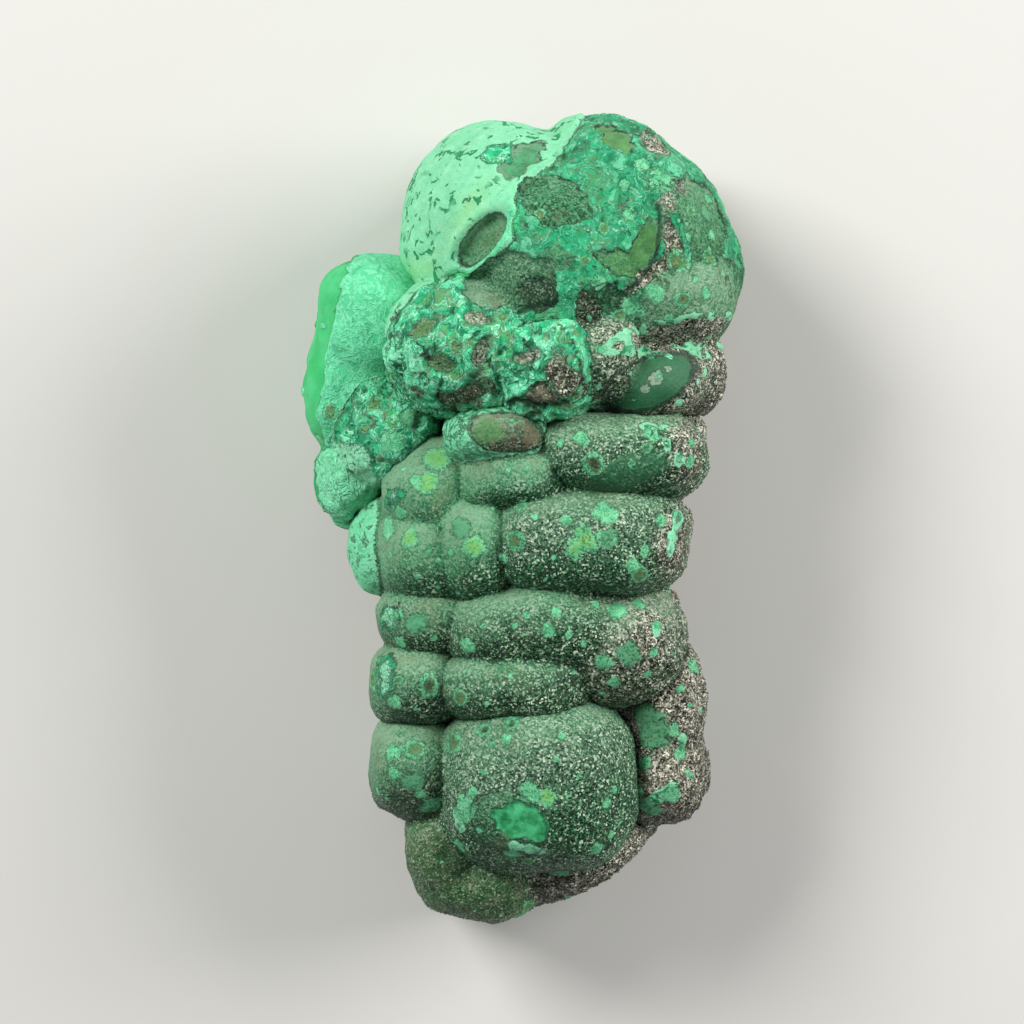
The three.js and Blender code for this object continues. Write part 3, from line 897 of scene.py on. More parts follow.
def grid_faces(rows, around):
    """The faces of a pole-to-pole grid, with one vertex at each pole, and every corner's place in the UV
    square: quads between rings, and a fan of triangles at each pole."""
    ring = np.arange(around)
    after = (ring + 1) % around
    low = 1 + np.arange(rows - 3)[:, None] * around
    quads = np.stack([low + ring, low + around + ring, low + around + after, low + after], -1)
    across = np.stack([ring, ring, ring + 1, ring + 1], -1) / around
    up = np.array([0, 1, 1, 0]) + np.arange(1, rows - 2)[:, None]
    quad_uv = np.stack(np.broadcast_arrays(across[None], up[:, None, :] / (rows - 1)), -1)
    last = 1 + (rows - 2) * around
    top = last - around
    first_fan = np.stack([np.zeros_like(ring), 1 + ring, 1 + after], -1)
    last_fan = np.stack([np.full_like(ring, last), top + after, top + ring], -1)
    middle = ring + 0.5
    rise = np.tile([0, 1, 1], (around, 1)) / (rows - 1)
    first_uv = np.stack([np.stack([middle, ring, ring + 1], -1) / around, rise], -1)
    last_uv = np.stack([np.stack([middle, ring + 1, ring], -1) / around, 1 - rise], -1)
    corners = np.concatenate([quads.ravel(), first_fan.ravel(), last_fan.ravel()])
    sides = np.concatenate([np.full(quads.size // 4, 4), np.full(2 * around, 3)])
    uv = np.concatenate([quad_uv.reshape(-1, 2), first_uv.reshape(-1, 2), last_uv.reshape(-1, 2)])
    return corners, sides, uv


def pole_to_pole(grid):
    """A grid's values as one list with a single entry for each pole."""
    flat = grid[1:-1].reshape(-1, *grid.shape[2:])
    return np.concatenate([grid[0, :1], flat, grid[-1, :1]])


# Each finished surface, kept for its crystals, and the channels that the material reads.
SURFACES = {}
SHOWN = (*CHANNELS, "ridge", "line", "window", "spot", "core", "pit", "crease", "depth")


def grow_piece(name):
    """Grows, dresses and meshes one cluster of lobes, and keeps its surface for the crystals. Each point
    moves along its normal by the height that the coverings add up to."""
    spine, rows, around = GRIDS[name]
    sizes = bpy.context.scene.malachite_sizes
    seed = 10 * list(PIECES).index(name) + 1
    points, normals = grow(PIECES[name], spine, rows, around, SOFTER[name] * sizes.fillet / MM)
    coat = start_coat(points, name)
    points = bend(points)
    lay_lumps(coat, points, normals, seed)
    DRESS[name](coat, points, normals)
    lay_matrix(coat, points, seed + 6)
    lay_crust(coat, points, seed + 2)
    lay_druze(coat, points, seed + 3)
    lay_painted_light(coat, normals, points, seed + 4)
    # The relief fades out towards the broken back, which is only a little uneven.
    standing = smooth_step(points[..., 2], BROKEN_BACK + 0.1, BROKEN_BACK + 1.2)
    height = coat["height"] * standing * sizes.relief
    moved = points + height[..., None] * normals
    moved[..., 2] = np.maximum(moved[..., 2], BROKEN_BACK)
    back = 1 - smooth_step(points[..., 2], 0.02, 0.05)
    moved[..., 2] += back * 0.5 * np.clip(0.3 + waves(points, 3.0, seed + 5, 3), 0, 1)
    corners, sides, uv = grid_faces(rows, around)
    shown = {key: pole_to_pole(coat[key]) for key in SHOWN}
    piece = put_mesh(f"malachite_{name}", pole_to_pole(moved), corners, sides, shown, True, uv)
    belong(piece, "stone surface")
    SURFACES[name] = (moved, normals, coat)


# ---------------------------------------------------------------- crystals


CORNERS = 6  # of a crystal
LEAN = 0.45  # how far a crystal's axis may lean away from the normal
SEAT, SUNK = 0.15, 0.6  # how far up a crystal's base is, and how far down its root, in crystal heights
JITTER = 0.12  # how far a crystal may be from its grid point
NARROWEST, WIDEST = 0.35, 0.75  # half widths, in crystal sizes
LOWEST, HIGHEST = 0.6, 1.2  # heights, in half widths
COARSER = 0.4  # how much wider the crystals of grey druze are
# No crystals where there is less druze or more pale crust, so near the floor, or so deep in a crease.
BARE_BELOW, PALE_ABOVE, CLEAR_OF_FLOOR, DEEP_ABOVE = 0.25, 0.4, 0.8, 0.93


def crystal_shapes(places, normals, widths, heights, rng):
    """Small six-cornered crystals, two four-sided pyramids base to base: each one's axis is the surface's
    normal leant over at random, and its base is a square turned at random about the axis."""
    count = len(places)
    axis = unit(normals + LEAN * rng.normal(size=(count, 3)))
    side = unit(np.cross(axis, rng.normal(size=(count, 3))))
    other = np.cross(axis, side)
    corners = [side, other, -side, -other]
    base = [places + SEAT * heights[:, None] * axis + widths[:, None] * corner for corner in corners]
    tip = places + heights[:, None] * axis
    root = places - SUNK * heights[:, None] * axis
    vertices = np.stack([*base, tip, root], axis=1)
    faces = [(k, (k + 1) % 4, 4) for k in range(4)] + [((k + 1) % 4, k, 5) for k in range(4)]
    numbers = np.array(faces)[None] + CORNERS * np.arange(count)[:, None, None]
    return vertices.reshape(-1, 3), numbers.reshape(-1)


def strew_crystals(name, count, seed):
    """Sets crystals on a surface, each beside a random grid point, more of them where the druze is thick and
    the grid's cells are large."""
    points, normals, coat = SURFACES[name]
    rng = np.random.default_rng(seed)
    chance = np.clip(coat["druzy"] - BARE_BELOW, 0, 1) * (coat["spot"] < 0) * (coat["mint"] < PALE_ABOVE)
    chance = chance * (points[..., 2] > CLEAR_OF_FLOOR) * (coat["crease"] < DEEP_ABOVE)
    chance[0], chance[-1] = 0, 0
    width_u = np.linalg.norm(np.roll(points, -1, axis=1) - points, axis=-1)
    width_v = np.linalg.norm(np.roll(points, -1, axis=0) - points, axis=-1)
    chance = (chance * width_u * width_v).ravel()
    picked = rng.choice(chance.size, size=count, p=chance / chance.sum())
    ups = normals.reshape(-1, 3)[picked]
    jitter = JITTER * rng.normal(size=(count, 3))
    places = points.reshape(-1, 3)[picked] + jitter - dot(jitter, ups)[:, None] * ups
    size = bpy.context.scene.malachite_sizes.crystal / MM
    widths = size * rng.uniform(NARROWEST, WIDEST, count) * (1 + COARSER * coat["grey"].ravel()[picked])
    heights = widths * rng.uniform(LOWEST, HIGHEST, count)
    vertices, corners = crystal_shapes(places, ups, widths, heights, rng)
    attributes = {"tone": np.repeat(rng.uniform(0, 1, count), CORNERS)}
    # Each crystal keeps its ground's painted light and shade as well as its greyness.
    for channel in ("grey", "bloom"):
        attributes[channel] = np.repeat(coat[channel].ravel()[picked], CORNERS)
    piece = put_mesh(f"druse_{name}", vertices, corners, np.full(8 * count, 3), attributes, False)
    belong(piece, "druse crystals")


# ---------------------------------------------------------------- materials


def shade(red, green, blue):
    """A colour given in steps from 0 to 255, as linear light."""
    parts = [c / 255 for c in (red, green, blue)]
    return tuple(((p + 0.055) / 1.055) ** 2.4 if p > 0.04045 else p / 12.92 for p in parts)


class Wiring:
    """A material's nodes. Each short call adds one node, joins what it is given, and returns an output."""

    def __init__(self, name):
        self.material = bpy.data.materials.new(name)
        self.material.use_nodes = True
        self.tree = self.material.node_tree
        self.shader = self.tree.nodes["Principled BSDF"]

    def join(self, value, socket):
        """Links a socket to a socket, or sets its value, a colour's with its alpha."""
        if isinstance(value, bpy.types.NodeSocket):
            self.tree.links.new(value, socket)
        elif socket.type == "RGBA":
            socket.default_value = (*value, 1.0)
        else:
            socket.default_value = value

    def add(self, kind, inputs, output=0, **settings):
        """Adds a node, and returns the output asked for."""
        node = self.tree.nodes.new("ShaderNode" + kind)
        for key, value in settings.items():
            setattr(node, key, value)
        for key, value in inputs.items():
            self.join(value, node.inputs[key])
        return node.outputs[output]

    def read(self, name):
        """A value kept on the mesh."""
        return self.add("Attribute", {}, "Fac", attribute_name=name)

    def math(self, operation, a, b=0.0, c=0.0, clamp=False):
        """One sum of up to three numbers."""
        return self.add("Math", {0: a, 1: b, 2: c}, operation=operation, use_clamp=clamp)

    def times(self, a, b):
        """The product of two numbers."""
        return self.math("MULTIPLY", a, b)

    def plus(self, a, b):
        """The sum of two numbers."""
        return self.math("ADD", a, b)

    def larger(self, a, b):
        """The larger of two numbers."""
        return self.math("MAXIMUM", a, b)

    def sway(self, noise, amount, value):
        """A value with an amount of noise added, where the noise is taken from its middle of 0.5."""
        return self.math("MULTIPLY_ADD", self.math("SUBTRACT", noise, 0.5), amount, value)

    def mix(self, amount, a, b):
        """Colour a where the amount is 0, and b where it is 1."""
        return self.add("Mix", {0: amount, 6: a, 7: b}, 2, data_type="RGBA")

    def step(self, value, low, high, start=0.0, end=1.0):
        """A smooth step from start to end as the value goes from low to high."""
        inputs = {"Value": value, "From Min": low, "From Max": high, "To Min": start, "To Max": end}
        return self.add("MapRange", inputs, interpolation_type="SMOOTHSTEP")

    def noise(self, place, per_mm, detail=3.0, rough=0.55):
        """Soft noise from 0 to 1, with this many swells to a millimetre."""
        return self.add("TexNoise", {"Vector": place, "Scale": per_mm, "Detail": detail, "Roughness": rough})

    def ramp(self, value, stops):
        """A colour for each value, blended between the stops: a place and a colour, or its three steps."""
        node = self.add("ValToRGB", {"Fac": value}).node
        elements = node.color_ramp.elements
        while len(elements) < len(stops):
            elements.new(1.0)
        for element, (position, *colour) in zip(elements, stops):
            element.position = position
            element.color = (*(shade(*colour) if len(colour) == 3 else colour[0]), 1.0)
        return node.outputs["Color"]


def stone_material(colours):
    """The stone: velvet, druze, crust, cap, spots, dark lines, painted light and shade, and the banded broken
    back, each mixed in by the amount kept on the mesh, with noise finer than the mesh at every edge."""
    w = Wiring("stone surface")
    place = w.add("TexCoord", {}, "Object")
    place = w.add("Mapping", {"Vector": place, "Scale": (1 / MM,) * 3})
    broad = w.noise(place, 0.3, 2.0)
    soft = w.noise(place, 0.9, 4.0)
    fine = w.noise(place, 4.0, 3.0)
    dust = w.noise(place, 11.0, 2.0, 0.7)
    cell = w.add("TexVoronoi", {"Vector": place, "Scale": 5.4}, "Color")
    tag = w.add("SeparateColor", {"Color": cell})
    druzy, bloom, grey = w.read("druzy"), w.read("bloom"), w.read("grey")
    height = []

    def rough(value, coarse, small):
        """A value with this much coarse and small noise added."""
        value = w.sway(fine, coarse, value)
        return w.sway(dust, small, value)

    # Velvet: painted light and shade, darker on the shaded sides and paler where it faces up and to the left,
    # in green and in grey.
    lit = w.sway(tag, 0.7, rough(bloom, 0.5, 0.5))
    velvet = w.ramp(lit, [(0.0, colours["deep"]), (0.45, colours["green"]), (0.95, colours["bloom"])])
    ash = w.ramp(lit, [(0.0, 34, 38, 33), (0.5, 98, 106, 92), (1.0, 158, 168, 150)])
    velvet = w.mix(w.times(grey, 0.85), velvet, ash)
    tanned = w.step(w.plus(broad, w.times(soft, 0.5)), 0.78, 0.95, 0.0, 0.35)
    velvet = w.mix(tanned, velvet, shade(104, 118, 82))
    height.append(w.times(dust, 0.05))

    # Druze: pale, middling and near-black crystals side by side, with near-white specks as painted glints,
    # and painted shade where it faces away: a shaded and a lit copy of the green and of the grey.
    clump = w.sway(soft, 0.4, tag)
    green_shaded = w.ramp(clump, [
        (0.1, 0, 14, 5), (0.45, 2, 54, 26), (0.7, 20, 98, 54), (0.84, 84, 146, 98), (1.0, 206, 228, 200),
    ])
    green_lit = w.ramp(clump, [
        (0.1, 8, 48, 27), (0.35, 58, 100, 72), (0.7, 112, 146, 116), (1.0, 200, 216, 194),
    ])
    lumpy = w.sway(w.noise(place, 1.1, 1.0), 1.1, clump)
    grey_shaded = w.ramp(lumpy, [
        (0.2, 5, 4, 2), (0.45, 42, 37, 27), (0.63, 108, 101, 82), (0.81, 164, 160, 139), (1.0, 232, 230, 215),
    ])
    grey_lit = w.ramp(lumpy, [
        (0.1, 8, 7, 4), (0.35, 80, 77, 62), (0.65, 160, 158, 138), (1.0, 236, 233, 218),
    ])
    # Painted light and shade: the lit copies where the ground is painted paler, the shaded ones where it
    # faces away.
    lit_share = w.step(rough(bloom, 0.3, 0.0), 0.2, 0.8)
    specks = w.mix(lit_share, w.mix(grey, green_shaded, grey_shaded), w.mix(grey, green_lit, grey_lit))
    colour = w.mix(w.step(rough(druzy, 0.6, 0.5), 0.05, 0.95), velvet, specks)
    height.append(w.times(w.times(tag, druzy), 0.12))

    plate = w.mix(fine, shade(26, 84, 52), shade(48, 112, 74))
    colour = w.mix(w.step(w.read("smooth"), 0.2, 0.9, 0.0, 0.9), colour, plate)
    emerald = w.mix(w.step(soft, 0.35, 0.65), shade(10, 116, 62), shade(60, 168, 112))
    colour = w.mix(w.step(rough(w.read("bright"), 0.3, 0.1), 0.4, 0.6), colour, emerald)
    moss = w.mix(w.step(soft, 0.3, 0.7), shade(48, 104, 44), shade(84, 144, 76))
    colour = w.mix(w.step(rough(w.read("olive"), 0.7, 0.2), 0.1, 0.8, 0.0, 0.85), colour, moss)

    # Crust: layered shells, stacked up in small steps, each layer of its own colour, with a painted highlight
    # on each step's lip and along the sharp folds, and painted shade at each step's foot and in the low
    # hollows between ridges.
    push = w.add("TexNoise", {"Vector": place, "Scale": 0.5, "Detail": 2.0}, "Color")
    push = w.add("VectorMath", {0: push, 1: (3.4, 3.4, 3.4)}, operation="MULTIPLY")
    curly = w.add("VectorMath", {0: place, 1: push}, operation="ADD")
    nodule = w.add("TexVoronoi", {"Vector": curly, "Scale": 0.42})
    whose = w.add("SeparateColor", {"Color": nodule.node.outputs["Color"]})
    level = w.math("MULTIPLY_ADD", w.noise(curly, 0.6, 3.0, 0.6), 4.0, w.times(nodule, 2.4))
    level = rough(level, 0.25, 0.15)
    part, floor = w.math("FRACT", level), w.math("FLOOR", level)
    kind = w.add("TexWhiteNoise", {"W": w.math("MULTIPLY_ADD", whose, 37.0, floor)}, noise_dimensions="1D")
    kinds = w.sway(soft, 0.5, kind)
    ridge = rough(w.read("ridge"), 0.3, 0.2)
    kinds = w.sway(ridge, 0.5, kinds)
    layers = w.ramp(kinds, [
        (0.0, 18, 108, 70), (0.22, 26, 150, 102), (0.5, 40, 190, 132), (0.62, 80, 162, 90),
        (0.72, 100, 138, 102), (0.86, 66, 212, 152), (1.0, 132, 234, 186),
    ])
    grit = w.mix(w.step(clump, 0.2, 0.9), shade(38, 62, 42), shade(138, 158, 128))
    where = w.sway(soft, 0.5, whose)
    bald = w.times(w.step(where, 0.18, 0.1), w.step(ridge, 0.62, 0.42, 0.0, 0.85))
    lip_highlight = w.times(w.step(part, 0.03, 0.1), w.step(part, 0.4, 0.16))
    lip_highlight = w.times(lip_highlight, w.step(ridge, 0.25, 0.7, 0.25, 1.0))
    fold = w.add("Mapping", {"Vector": curly, "Rotation": (0.3, 0.5, 0.6), "Scale": (1.0, 0.4, 0.7)})
    fold = w.math("ABSOLUTE", w.math("SUBTRACT", w.noise(fold, 0.95, 2.0, 0.6), 0.5))
    sharp = w.times(w.step(fold, 0.05, 0.0), w.step(w.read("crust"), 0.65, 1.0, 0.35, 0.9))
    # The painted highlight: pale mint, near white on some cells as painted glints.
    crest_highlight = w.mix(fine, shade(56, 200, 142), shade(132, 234, 190))
    crest_highlight = w.mix(w.step(tag, 0.6, 0.95), crest_highlight, shade(196, 246, 220))
    layers = w.mix(lip_highlight, layers, crest_highlight)
    layers = w.mix(w.times(sharp, w.step(ridge, 0.25, 0.6, 0.1, 0.95)), layers, crest_highlight)
    layers = w.mix(bald, layers, grit)
    layers = w.mix(w.step(w.read("crust"), 0.95, 0.75, 0.0, 0.5), layers, shade(16, 128, 84))
    # Painted shade in the hollows where the ridge is low.
    low = w.times(w.step(ridge, 0.26, 0.1, 0.0, 0.7), w.step(w.read("crust"), 0.6, 1.0, 0.3, 0.7))
    layers = w.mix(low, layers, shade(12, 44, 30))
    # Painted shade at the foot of each step.
    foot = w.larger(w.step(part, 0.93, 1.0), w.step(part, 0.04, 0.0))
    layers = w.mix(w.times(foot, 0.4), layers, shade(14, 60, 40))
    edge = w.sway(soft, 1.1, w.read("crust"))
    crust = w.step(rough(edge, 0.35, 0.2), 0.42, 0.56)
    colour = w.mix(crust, colour, layers)
    stairs = w.times(w.plus(floor, w.step(part, 0.0, 0.12)), 0.13)
    stairs = w.math("MULTIPLY_ADD", w.step(fold, 0.22, 0.0), 0.2, stairs)
    height.append(w.times(crust, stairs))

    earth = w.mix(dust, shade(74, 64, 48), shade(134, 120, 94))
    rusty = w.sway(soft, 1.5, w.times(w.read("brown"), 0.75))
    colour = w.mix(w.step(rough(rusty, 0.4, 0.3), 0.3, 0.8, 0.0, 0.8), colour, earth)

    # The bright smooth layer, and the pale crust over it with its pits.
    bare = w.step(rough(w.read("jade"), 0.2, 0.1), 0.42, 0.58)
    jade = w.mix(w.step(broad, 0.3, 0.7), colours["jade"], shade(74, 198, 128))
    jade = w.mix(w.step(dust, 0.62, 0.72, 0.0, 0.5), jade, shade(150, 226, 180))
    colour = w.mix(bare, colour, jade)
    holes = rough(w.noise(curly, 0.95, 1.0), 0.12, 0.06)
    holes = w.times(w.step(holes, 0.6, 0.64), w.step(broad, 0.4, 0.55))
    holes = w.times(holes, w.step(w.read("jade"), 0.7, 0.1, 0.25, 1.0))
    pale = w.ramp(w.math("MULTIPLY_ADD", dust, 0.35, w.times(soft, 0.75)), [
        (0.25, 62, 172, 118), (0.42, colours["mint"]), (0.62, 130, 208, 164), (0.9, 176, 230, 198),
    ])
    pale = w.mix(w.step(w.read("olive"), 0.1, 0.6, 0.0, 0.7), pale, shade(150, 206, 132))
    turquoise = w.mix(soft, shade(44, 190, 126), shade(104, 230, 172))
    pale = w.mix(w.times(w.read("jade"), 0.8), pale, turquoise)
    crinkle = w.math("ABSOLUTE", w.math("SUBTRACT", w.noise(curly, 1.0, 3.0, 0.65), 0.5))
    strength = w.step(w.read("jade"), 0.0, 1.0, 0.3, 0.9)
    pale = w.mix(w.times(strength, w.step(crinkle, 0.1, 0.3, 0.0, 0.5)), pale, shade(48, 182, 122))
    pale = w.mix(w.times(strength, w.step(crinkle, 0.06, 0.0, 0.0, 0.8)), pale, shade(136, 234, 188))
    lap = rough(w.read("mint"), 0.45, 0.25)
    mint = w.step(lap, 0.44, 0.56)
    # A paler rim where the crust thins to its edge: a painted highlight on the crust's raised edge.
    pale = w.mix(w.step(lap, 0.8, 0.56, 0.0, 0.5), pale, shade(150, 228, 186))
    colour = w.mix(mint, colour, w.mix(holes, pale, shade(22, 138, 82)))
    solid = w.math("SUBTRACT", 1.0, w.times(holes, 0.9))
    height.append(w.times(w.times(mint, solid), 0.2))
    creased = w.times(w.times(mint, strength), w.step(crinkle, 0.16, 0.0))
    height.append(w.times(creased, 0.1))

    # Spots: crumbly and pale outside, yellow-green, brown or nearly black within.
    raised = w.sway(soft, 0.8, rough(w.read("spot"), 1.1, 0.7))
    spot = w.step(raised, 0.0, 0.22)
    core, pit = w.read("core"), w.read("pit")
    fresh = w.step(w.math("MULTIPLY_ADD", soft, 0.6, dust), 0.6, 1.0)
    fresh = w.mix(fresh, shade(50, 156, 106), shade(132, 220, 166))
    fresh = w.mix(w.step(core, -0.3, -0.8, 0.0, 0.75), fresh, shade(70, 136, 96))
    ashen = w.mix(fine, shade(96, 120, 100), shade(168, 184, 168))
    fresh = w.mix(w.step(core, -1.4, -1.8, 0.0, 0.85), fresh, ashen)
    heart = w.times(w.step(raised, 0.3, 0.55), w.step(core, 0.1, 0.8))
    fresh = w.mix(w.times(heart, 0.8), fresh, w.mix(fine, shade(84, 156, 74), shade(138, 198, 104)))
    ring = w.times(w.step(raised, 0.42, 0.6), w.step(pit, 0.2, 0.5))
    fresh = w.mix(w.times(ring, 0.7), fresh, shade(92, 96, 64))
    well = w.times(w.step(raised, 0.6, 0.75), w.step(pit, 0.5, 0.9))
    fresh = w.mix(w.times(well, 0.85), fresh, shade(26, 28, 20))
    colour = w.mix(w.times(spot, w.step(tag, 0.1, 0.45, 0.45, 0.95)), colour, fresh)
    height.append(w.times(spot, w.math("SUBTRACT", 0.12, w.times(ring, 0.16))))

    # Dark lines round the windows and wherever the mesh marks a line, and painted shade in the creases.
    rim = w.math("ABSOLUTE", w.math("SUBTRACT", rough(w.read("window"), 0.3, 0.15), 0.5))
    rim = w.times(w.step(rim, 0.13, 0.03), w.step(soft, 0.42, 0.58, 0.05, 0.75))
    line = w.larger(rim, w.step(rough(w.read("line"), 0.5, 0.3), 0.4, 0.9, 0.0, 0.8))
    colour = w.mix(line, colour, colours["dark"])
    # Painted shade: the creases between lobes and knobs are darkened towards the dark line colour.
    colour = w.mix(w.step(rough(w.read("crease"), 0.2, 0.2), 0.55, 1.0, 0.0, 0.8), colour, colours["dark"])
    height.append(w.times(line, -0.12))

    bands = w.plus(w.times(w.read("depth"), 0.9), w.times(soft, 0.6))
    bands = w.times(w.math("PINGPONG", bands, 0.5), 2.0)
    broken = w.ramp(bands, [(0.0, 20, 86, 58), (0.5, 64, 158, 112), (1.0, 140, 208, 168)])
    back = w.step(w.read("depth"), 0.3, 0.8)
    colour = w.mix(back, colour, broken)

    w.join(colour, w.shader.inputs["Base Color"])
    gloss = w.times(druzy, w.math("SUBTRACT", 0.6, w.times(tag, 0.4)))
    gloss = w.plus(gloss, w.times(w.read("smooth"), 0.3))
    gloss = w.times(gloss, w.math("SUBTRACT", 1.0, w.larger(spot, mint)))
    w.join(w.math("SUBTRACT", 0.8, gloss, clamp=True), w.shader.inputs["Roughness"])
    w.shader.inputs["Specular IOR Level"].default_value = 0.25
    w.shader.inputs["IOR"].default_value = 1.6
    w.shader.inputs["Sheen Weight"].default_value = 0.06
    w.shader.inputs["Sheen Roughness"].default_value = 0.5
    w.shader.inputs["Sheen Tint"].default_value = (*shade(190, 225, 200), 1.0)

    facing = w.add("NewGeometry", {}, "Normal")
    lean = w.add("VectorMath", {0: cell, 1: (0.5, 0.5, 0.5)}, operation="SUBTRACT")
    sparkle = w.times(druzy, w.math("SUBTRACT", 1.0, w.larger(spot, w.larger(mint, crust))))
    lean = w.add("VectorMath", {0: lean, "Scale": w.times(sparkle, 0.9)}, operation="SCALE")
    facet = w.add("VectorMath", {0: facing, 1: lean}, operation="ADD")
    facet = w.add("VectorMath", {0: facet}, operation="NORMALIZE")
    total = w.times(fine, 0.08)
    for part in height:
        total = w.plus(total, part)
    normal = w.add("Bump", {"Strength": 1.0, "Distance": MM, "Height": total, "Normal": facet})
    w.join(normal, w.shader.inputs["Normal"])
    return w.material


def druse_material():
    """The small crystals: glassy, green or grey as the ground they stand on, each with its own tone, and
    paler where the ground is painted light and darker where it is painted shade.
    """
    w = Wiring("druse crystals")
    tone = w.math("MULTIPLY_ADD", w.read("bloom"), 0.25, w.times(w.read("tone"), 0.75))
    green = w.ramp(tone, [(0.0, 5, 30, 17), (0.4, 26, 78, 48), (0.7, 84, 146, 104), (1.0, 190, 222, 194)])
    grey = w.ramp(tone, [(0.0, 14, 14, 11), (0.4, 64, 64, 52), (0.7, 130, 132, 114), (1.0, 214, 216, 200)])
    w.join(w.mix(w.read("grey"), green, grey), w.shader.inputs["Base Color"])
    w.shader.inputs["Roughness"].default_value = 0.22
    w.shader.inputs["IOR"].default_value = 1.66
    return w.material


def plain_material(name, colour, roughness):
    """One even colour, for the floor."""
    w = Wiring(name)
    w.shader.inputs["Base Color"].default_value = (*colour, 1.0)
    w.shader.inputs["Roughness"].default_value = roughness
    return w.material


# ---------------------------------------------------------------- settings, operators and the panel


class MalachiteSizes(bpy.types.PropertyGroup):
    """Sizes that a user would change."""

    fillet: bpy.props.FloatProperty(
        name="Crease rounding", description="How softly neighbouring lobes join", default=0.14 * MM,
        min=0.02 * MM, unit="LENGTH",
    )
    relief: bpy.props.FloatProperty(
        name="Relief", description="Strength of the crust, pits and spots", default=1.0, min=0.0,
        subtype="FACTOR",
    )
    crystal: bpy.props.FloatProperty(
        name="Crystal size", description="Width of a druse crystal", default=0.11 * MM, min=0.02 * MM,
        unit="LENGTH",
    )
    crystals: bpy.props.IntProperty(
        name="Crystals", default=24000, min=0,
        description="Crystals on the column and on the foot; the flank has half and the crown a third of it",
    )


class MalachiteColours(bpy.types.PropertyGroup):
    """Colours that a user would change."""

    mint: bpy.props.FloatVectorProperty(
        name="Mint crust", description="The pale cap of the crown", default=shade(114, 200, 152),
        subtype="COLOR",
    )
    jade: bpy.props.FloatVectorProperty(
        name="Bright green", description="The ear's smooth edge", default=shade(44, 176, 98),
        subtype="COLOR",
    )
    # The lit end of the velvet's painted light and shade.
    bloom: bpy.props.FloatVectorProperty(
        name="Velvet bloom", description="The palest velvet", default=shade(116, 160, 126), subtype="COLOR",
    )
    green: bpy.props.FloatVectorProperty(
        name="Velvet green", description="The middle velvet", default=shade(58, 130, 88), subtype="COLOR",
    )
    deep: bpy.props.FloatVectorProperty(
        name="Deep green", description="The velvet on shaded sides", default=shade(5, 56, 30),
        subtype="COLOR",
    )
    # Also the painted shade in the creases.
    dark: bpy.props.FloatVectorProperty(
        name="Dark line", description="Creases and outlines", default=shade(6, 34, 22), subtype="COLOR",
    )


class MalachiteStage(bpy.types.PropertyGroup):
    """The floor, the lights and the camera."""

    floor: bpy.props.FloatVectorProperty(
        name="Floor", description="Colour of the floor", default=shade(204, 203, 200), subtype="COLOR",
    )
    distance: bpy.props.FloatProperty(
        name="Camera height", description="Camera above the resting side", default=0.463, unit="LENGTH",
    )
    key: bpy.props.FloatProperty(
        name="Key light", description="Power of the main light", default=3.8, unit="POWER",
    )


class MALACHITE_OT_materials(bpy.types.Operator):
    """Makes the stone's and the crystals' materials"""

    bl_idname = "malachite.materials"
    bl_label = "Make materials"

    def execute(self, context):
        chosen = context.scene.malachite_colours
        names = ("mint", "jade", "bloom", "green", "deep", "dark")
        stone_material({name: tuple(getattr(chosen, name)) for name in names})
        druse_material()
        return {"FINISHED"}


class MALACHITE_OT_crown(bpy.types.Operator):
    """Grows the crown: two domes, the crusted bulges under them and the pale cap"""

    bl_idname = "malachite.crown"
    bl_label = "Grow crown"

    def execute(self, context):
        grow_piece("crown")
        return {"FINISHED"}


class MALACHITE_OT_ear(bpy.types.Operator):
    """Grows the ear at the crown's left"""

    bl_idname = "malachite.ear"
    bl_label = "Grow ear"

    def execute(self, context):
        grow_piece("ear")
        return {"FINISHED"}


class MALACHITE_OT_column(bpy.types.Operator):
    """Grows the column of stacked rows"""

    bl_idname = "malachite.column"
    bl_label = "Grow column"

    def execute(self, context):
        grow_piece("column")
        return {"FINISHED"}


class MALACHITE_OT_foot(bpy.types.Operator):
    """Grows the foot, its velvety left side and its tip"""

    bl_idname = "malachite.foot"
    bl_label = "Grow foot"

    def execute(self, context):
        grow_piece("foot")
        return {"FINISHED"}


class MALACHITE_OT_flank(bpy.types.Operator):
    """Grows the dark flank at the foot's right"""

    bl_idname = "malachite.flank"
    bl_label = "Grow flank"

    def execute(self, context):
        grow_piece("flank")
        return {"FINISHED"}


class MALACHITE_OT_druse(bpy.types.Operator):
    """Sets small crystals on the crown, the column, the foot and the flank, which are grown first"""

    bl_idname = "malachite.druse"
    bl_label = "Set crystals"

    def execute(self, context):
        if not SURFACES:
            raise RuntimeError("grow the crown, the column, the foot and the flank first")
        count = context.scene.malachite_sizes.crystals
        strew_crystals("crown", count // 3, 11)
        strew_crystals("column", count, 12)
        strew_crystals("foot", count, 13)
        strew_crystals("flank", count // 2, 14)
        return {"FINISHED"}


KEY_PLACE, KEY_SIZE, KEY_COLOUR = (-0.36, 0.28, 0.42), 0.26, (1.0, 0.99, 0.96)
FILL_PLACE, FILL_SIZE, FILL_COLOUR = (0.42, 0.16, 0.26), 0.3, (1.0, 0.98, 0.95)
FILL_SHARE = 0.75
STUDIO_COLOUR, STUDIO_STRENGTH = (0.9, 0.93, 0.95, 1), 0.26
CAMERA_X, CAMERA_Y = -1.05 * MM, 1.05 * MM
SENSOR = 36
# The camera sees this many millimetres across when it is this many millimetres away.
VIEW_WIDTH, VIEW_REACH = 107.8, 449
FLOOR_REACH = 20  # the floor's half width, in lengths of the stone


def aim(place, target):
    """The turn that points an object's -Z from one place to another, with +Y kept up the picture."""
    return (Vector(target) - Vector(place)).to_track_quat("-Z", "Y").to_euler()


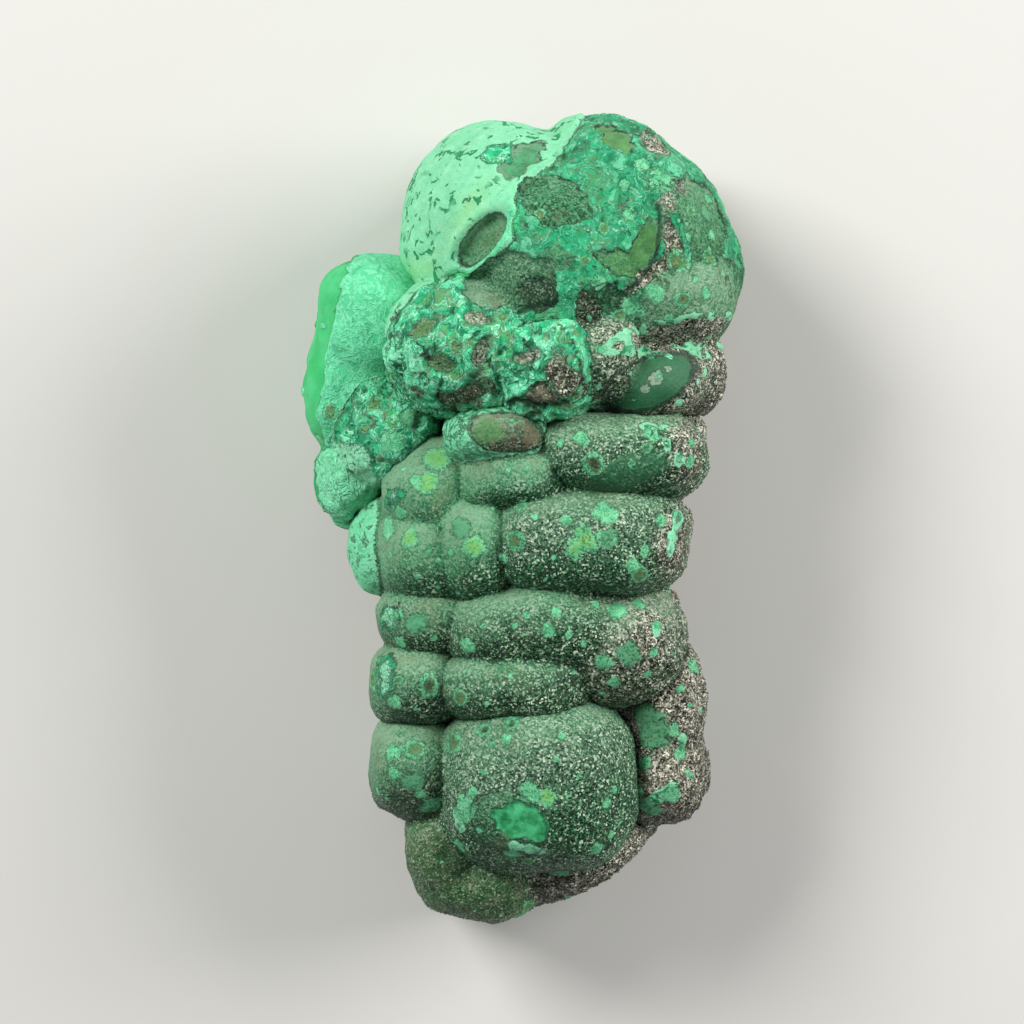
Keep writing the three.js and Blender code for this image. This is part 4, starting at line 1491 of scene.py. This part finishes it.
def area_light(name, place, target, size, power, colour):
    """A square soft light."""
    data = bpy.data.lights.new(name, "AREA")
    data.size, data.energy, data.color = size, power, colour
    light = bpy.data.objects.new(name, data)
    light.location, light.rotation_euler = place, aim(place, target)
    bpy.context.scene.collection.objects.link(light)


class MALACHITE_OT_stage(bpy.types.Operator):
    """Sets the floor, the soft lights and the camera that looks down on the stone"""

    bl_idname = "malachite.stage"
    bl_label = "Set stage"

    def execute(self, context):
        scene = context.scene
        look = scene.malachite_stage
        low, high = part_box(NODE)
        middle = (low + high) / 2
        reach = high.y - low.y
        floor = put_mesh(
            "floor", np.array([(-1, -1, 0), (1, -1, 0), (1, 1, 0), (-1, 1, 0)]) * FLOOR_REACH * reach / MM,
            np.arange(4), np.array([4]), {}, False,
        )
        floor.data.materials.append(plain_material("floor", tuple(look.floor), 0.9))
        area_light("key", KEY_PLACE, middle, KEY_SIZE, look.key, KEY_COLOUR)
        area_light("fill", FILL_PLACE, middle, FILL_SIZE, FILL_SHARE * look.key, FILL_COLOUR)
        world = bpy.data.worlds.new("studio")
        world.use_nodes = True
        world.node_tree.nodes["Background"].inputs["Color"].default_value = STUDIO_COLOUR
        world.node_tree.nodes["Background"].inputs["Strength"].default_value = STUDIO_STRENGTH
        scene.world = world
        scene.view_settings.view_transform = "Standard"
        data = bpy.data.cameras.new("camera")
        camera = bpy.data.objects.new("camera", data)
        camera.location = (CAMERA_X, CAMERA_Y, look.distance)
        data.sensor_width = SENSOR
        data.lens = SENSOR * VIEW_REACH / VIEW_WIDTH
        data.clip_start, data.clip_end = 0.01, 10
        scene.collection.objects.link(camera)
        scene.camera = camera
        return {"FINISHED"}


class MALACHITE_PT_panel(bpy.types.Panel):
    """Lists the pieces, the sizes and the colours"""

    bl_idname = "MALACHITE_PT_panel"
    bl_label = "Malachite specimen"
    bl_space_type = "VIEW_3D"
    bl_region_type = "UI"
    bl_category = "Malachite"

    def draw(self, context):
        for operator in OPERATORS:
            self.layout.operator(operator.bl_idname)
        for group in ("malachite_sizes", "malachite_colours", "malachite_stage"):
            settings = getattr(context.scene, group)
            for name in settings.__annotations__:
                self.layout.prop(settings, name)


GROUPS = {
    "malachite_sizes": MalachiteSizes,
    "malachite_colours": MalachiteColours,
    "malachite_stage": MalachiteStage,
}
OPERATORS = (
    MALACHITE_OT_materials,
    MALACHITE_OT_crown,
    MALACHITE_OT_ear,
    MALACHITE_OT_column,
    MALACHITE_OT_foot,
    MALACHITE_OT_flank,
    MALACHITE_OT_druse,
    MALACHITE_OT_stage,
)


def register():
    """Registers the classes and puts the settings on the scene."""
    for one in (*GROUPS.values(), *OPERATORS, MALACHITE_PT_panel):
        bpy.utils.register_class(one)
    for name, group in GROUPS.items():
        setattr(bpy.types.Scene, name, bpy.props.PointerProperty(type=group))


def unregister():
    """Takes the settings off the scene and unregisters the classes."""
    for name in GROUPS:
        delattr(bpy.types.Scene, name)
    for one in (MALACHITE_PT_panel, *reversed(OPERATORS), *GROUPS.values()):
        bpy.utils.unregister_class(one)


def main():
    """Builds the stone and its stage."""
    register()
    for operator in OPERATORS:
        group, name = operator.bl_idname.split(".")
        getattr(getattr(bpy.ops, group), name)()


if __name__ == "__main__":
    main()
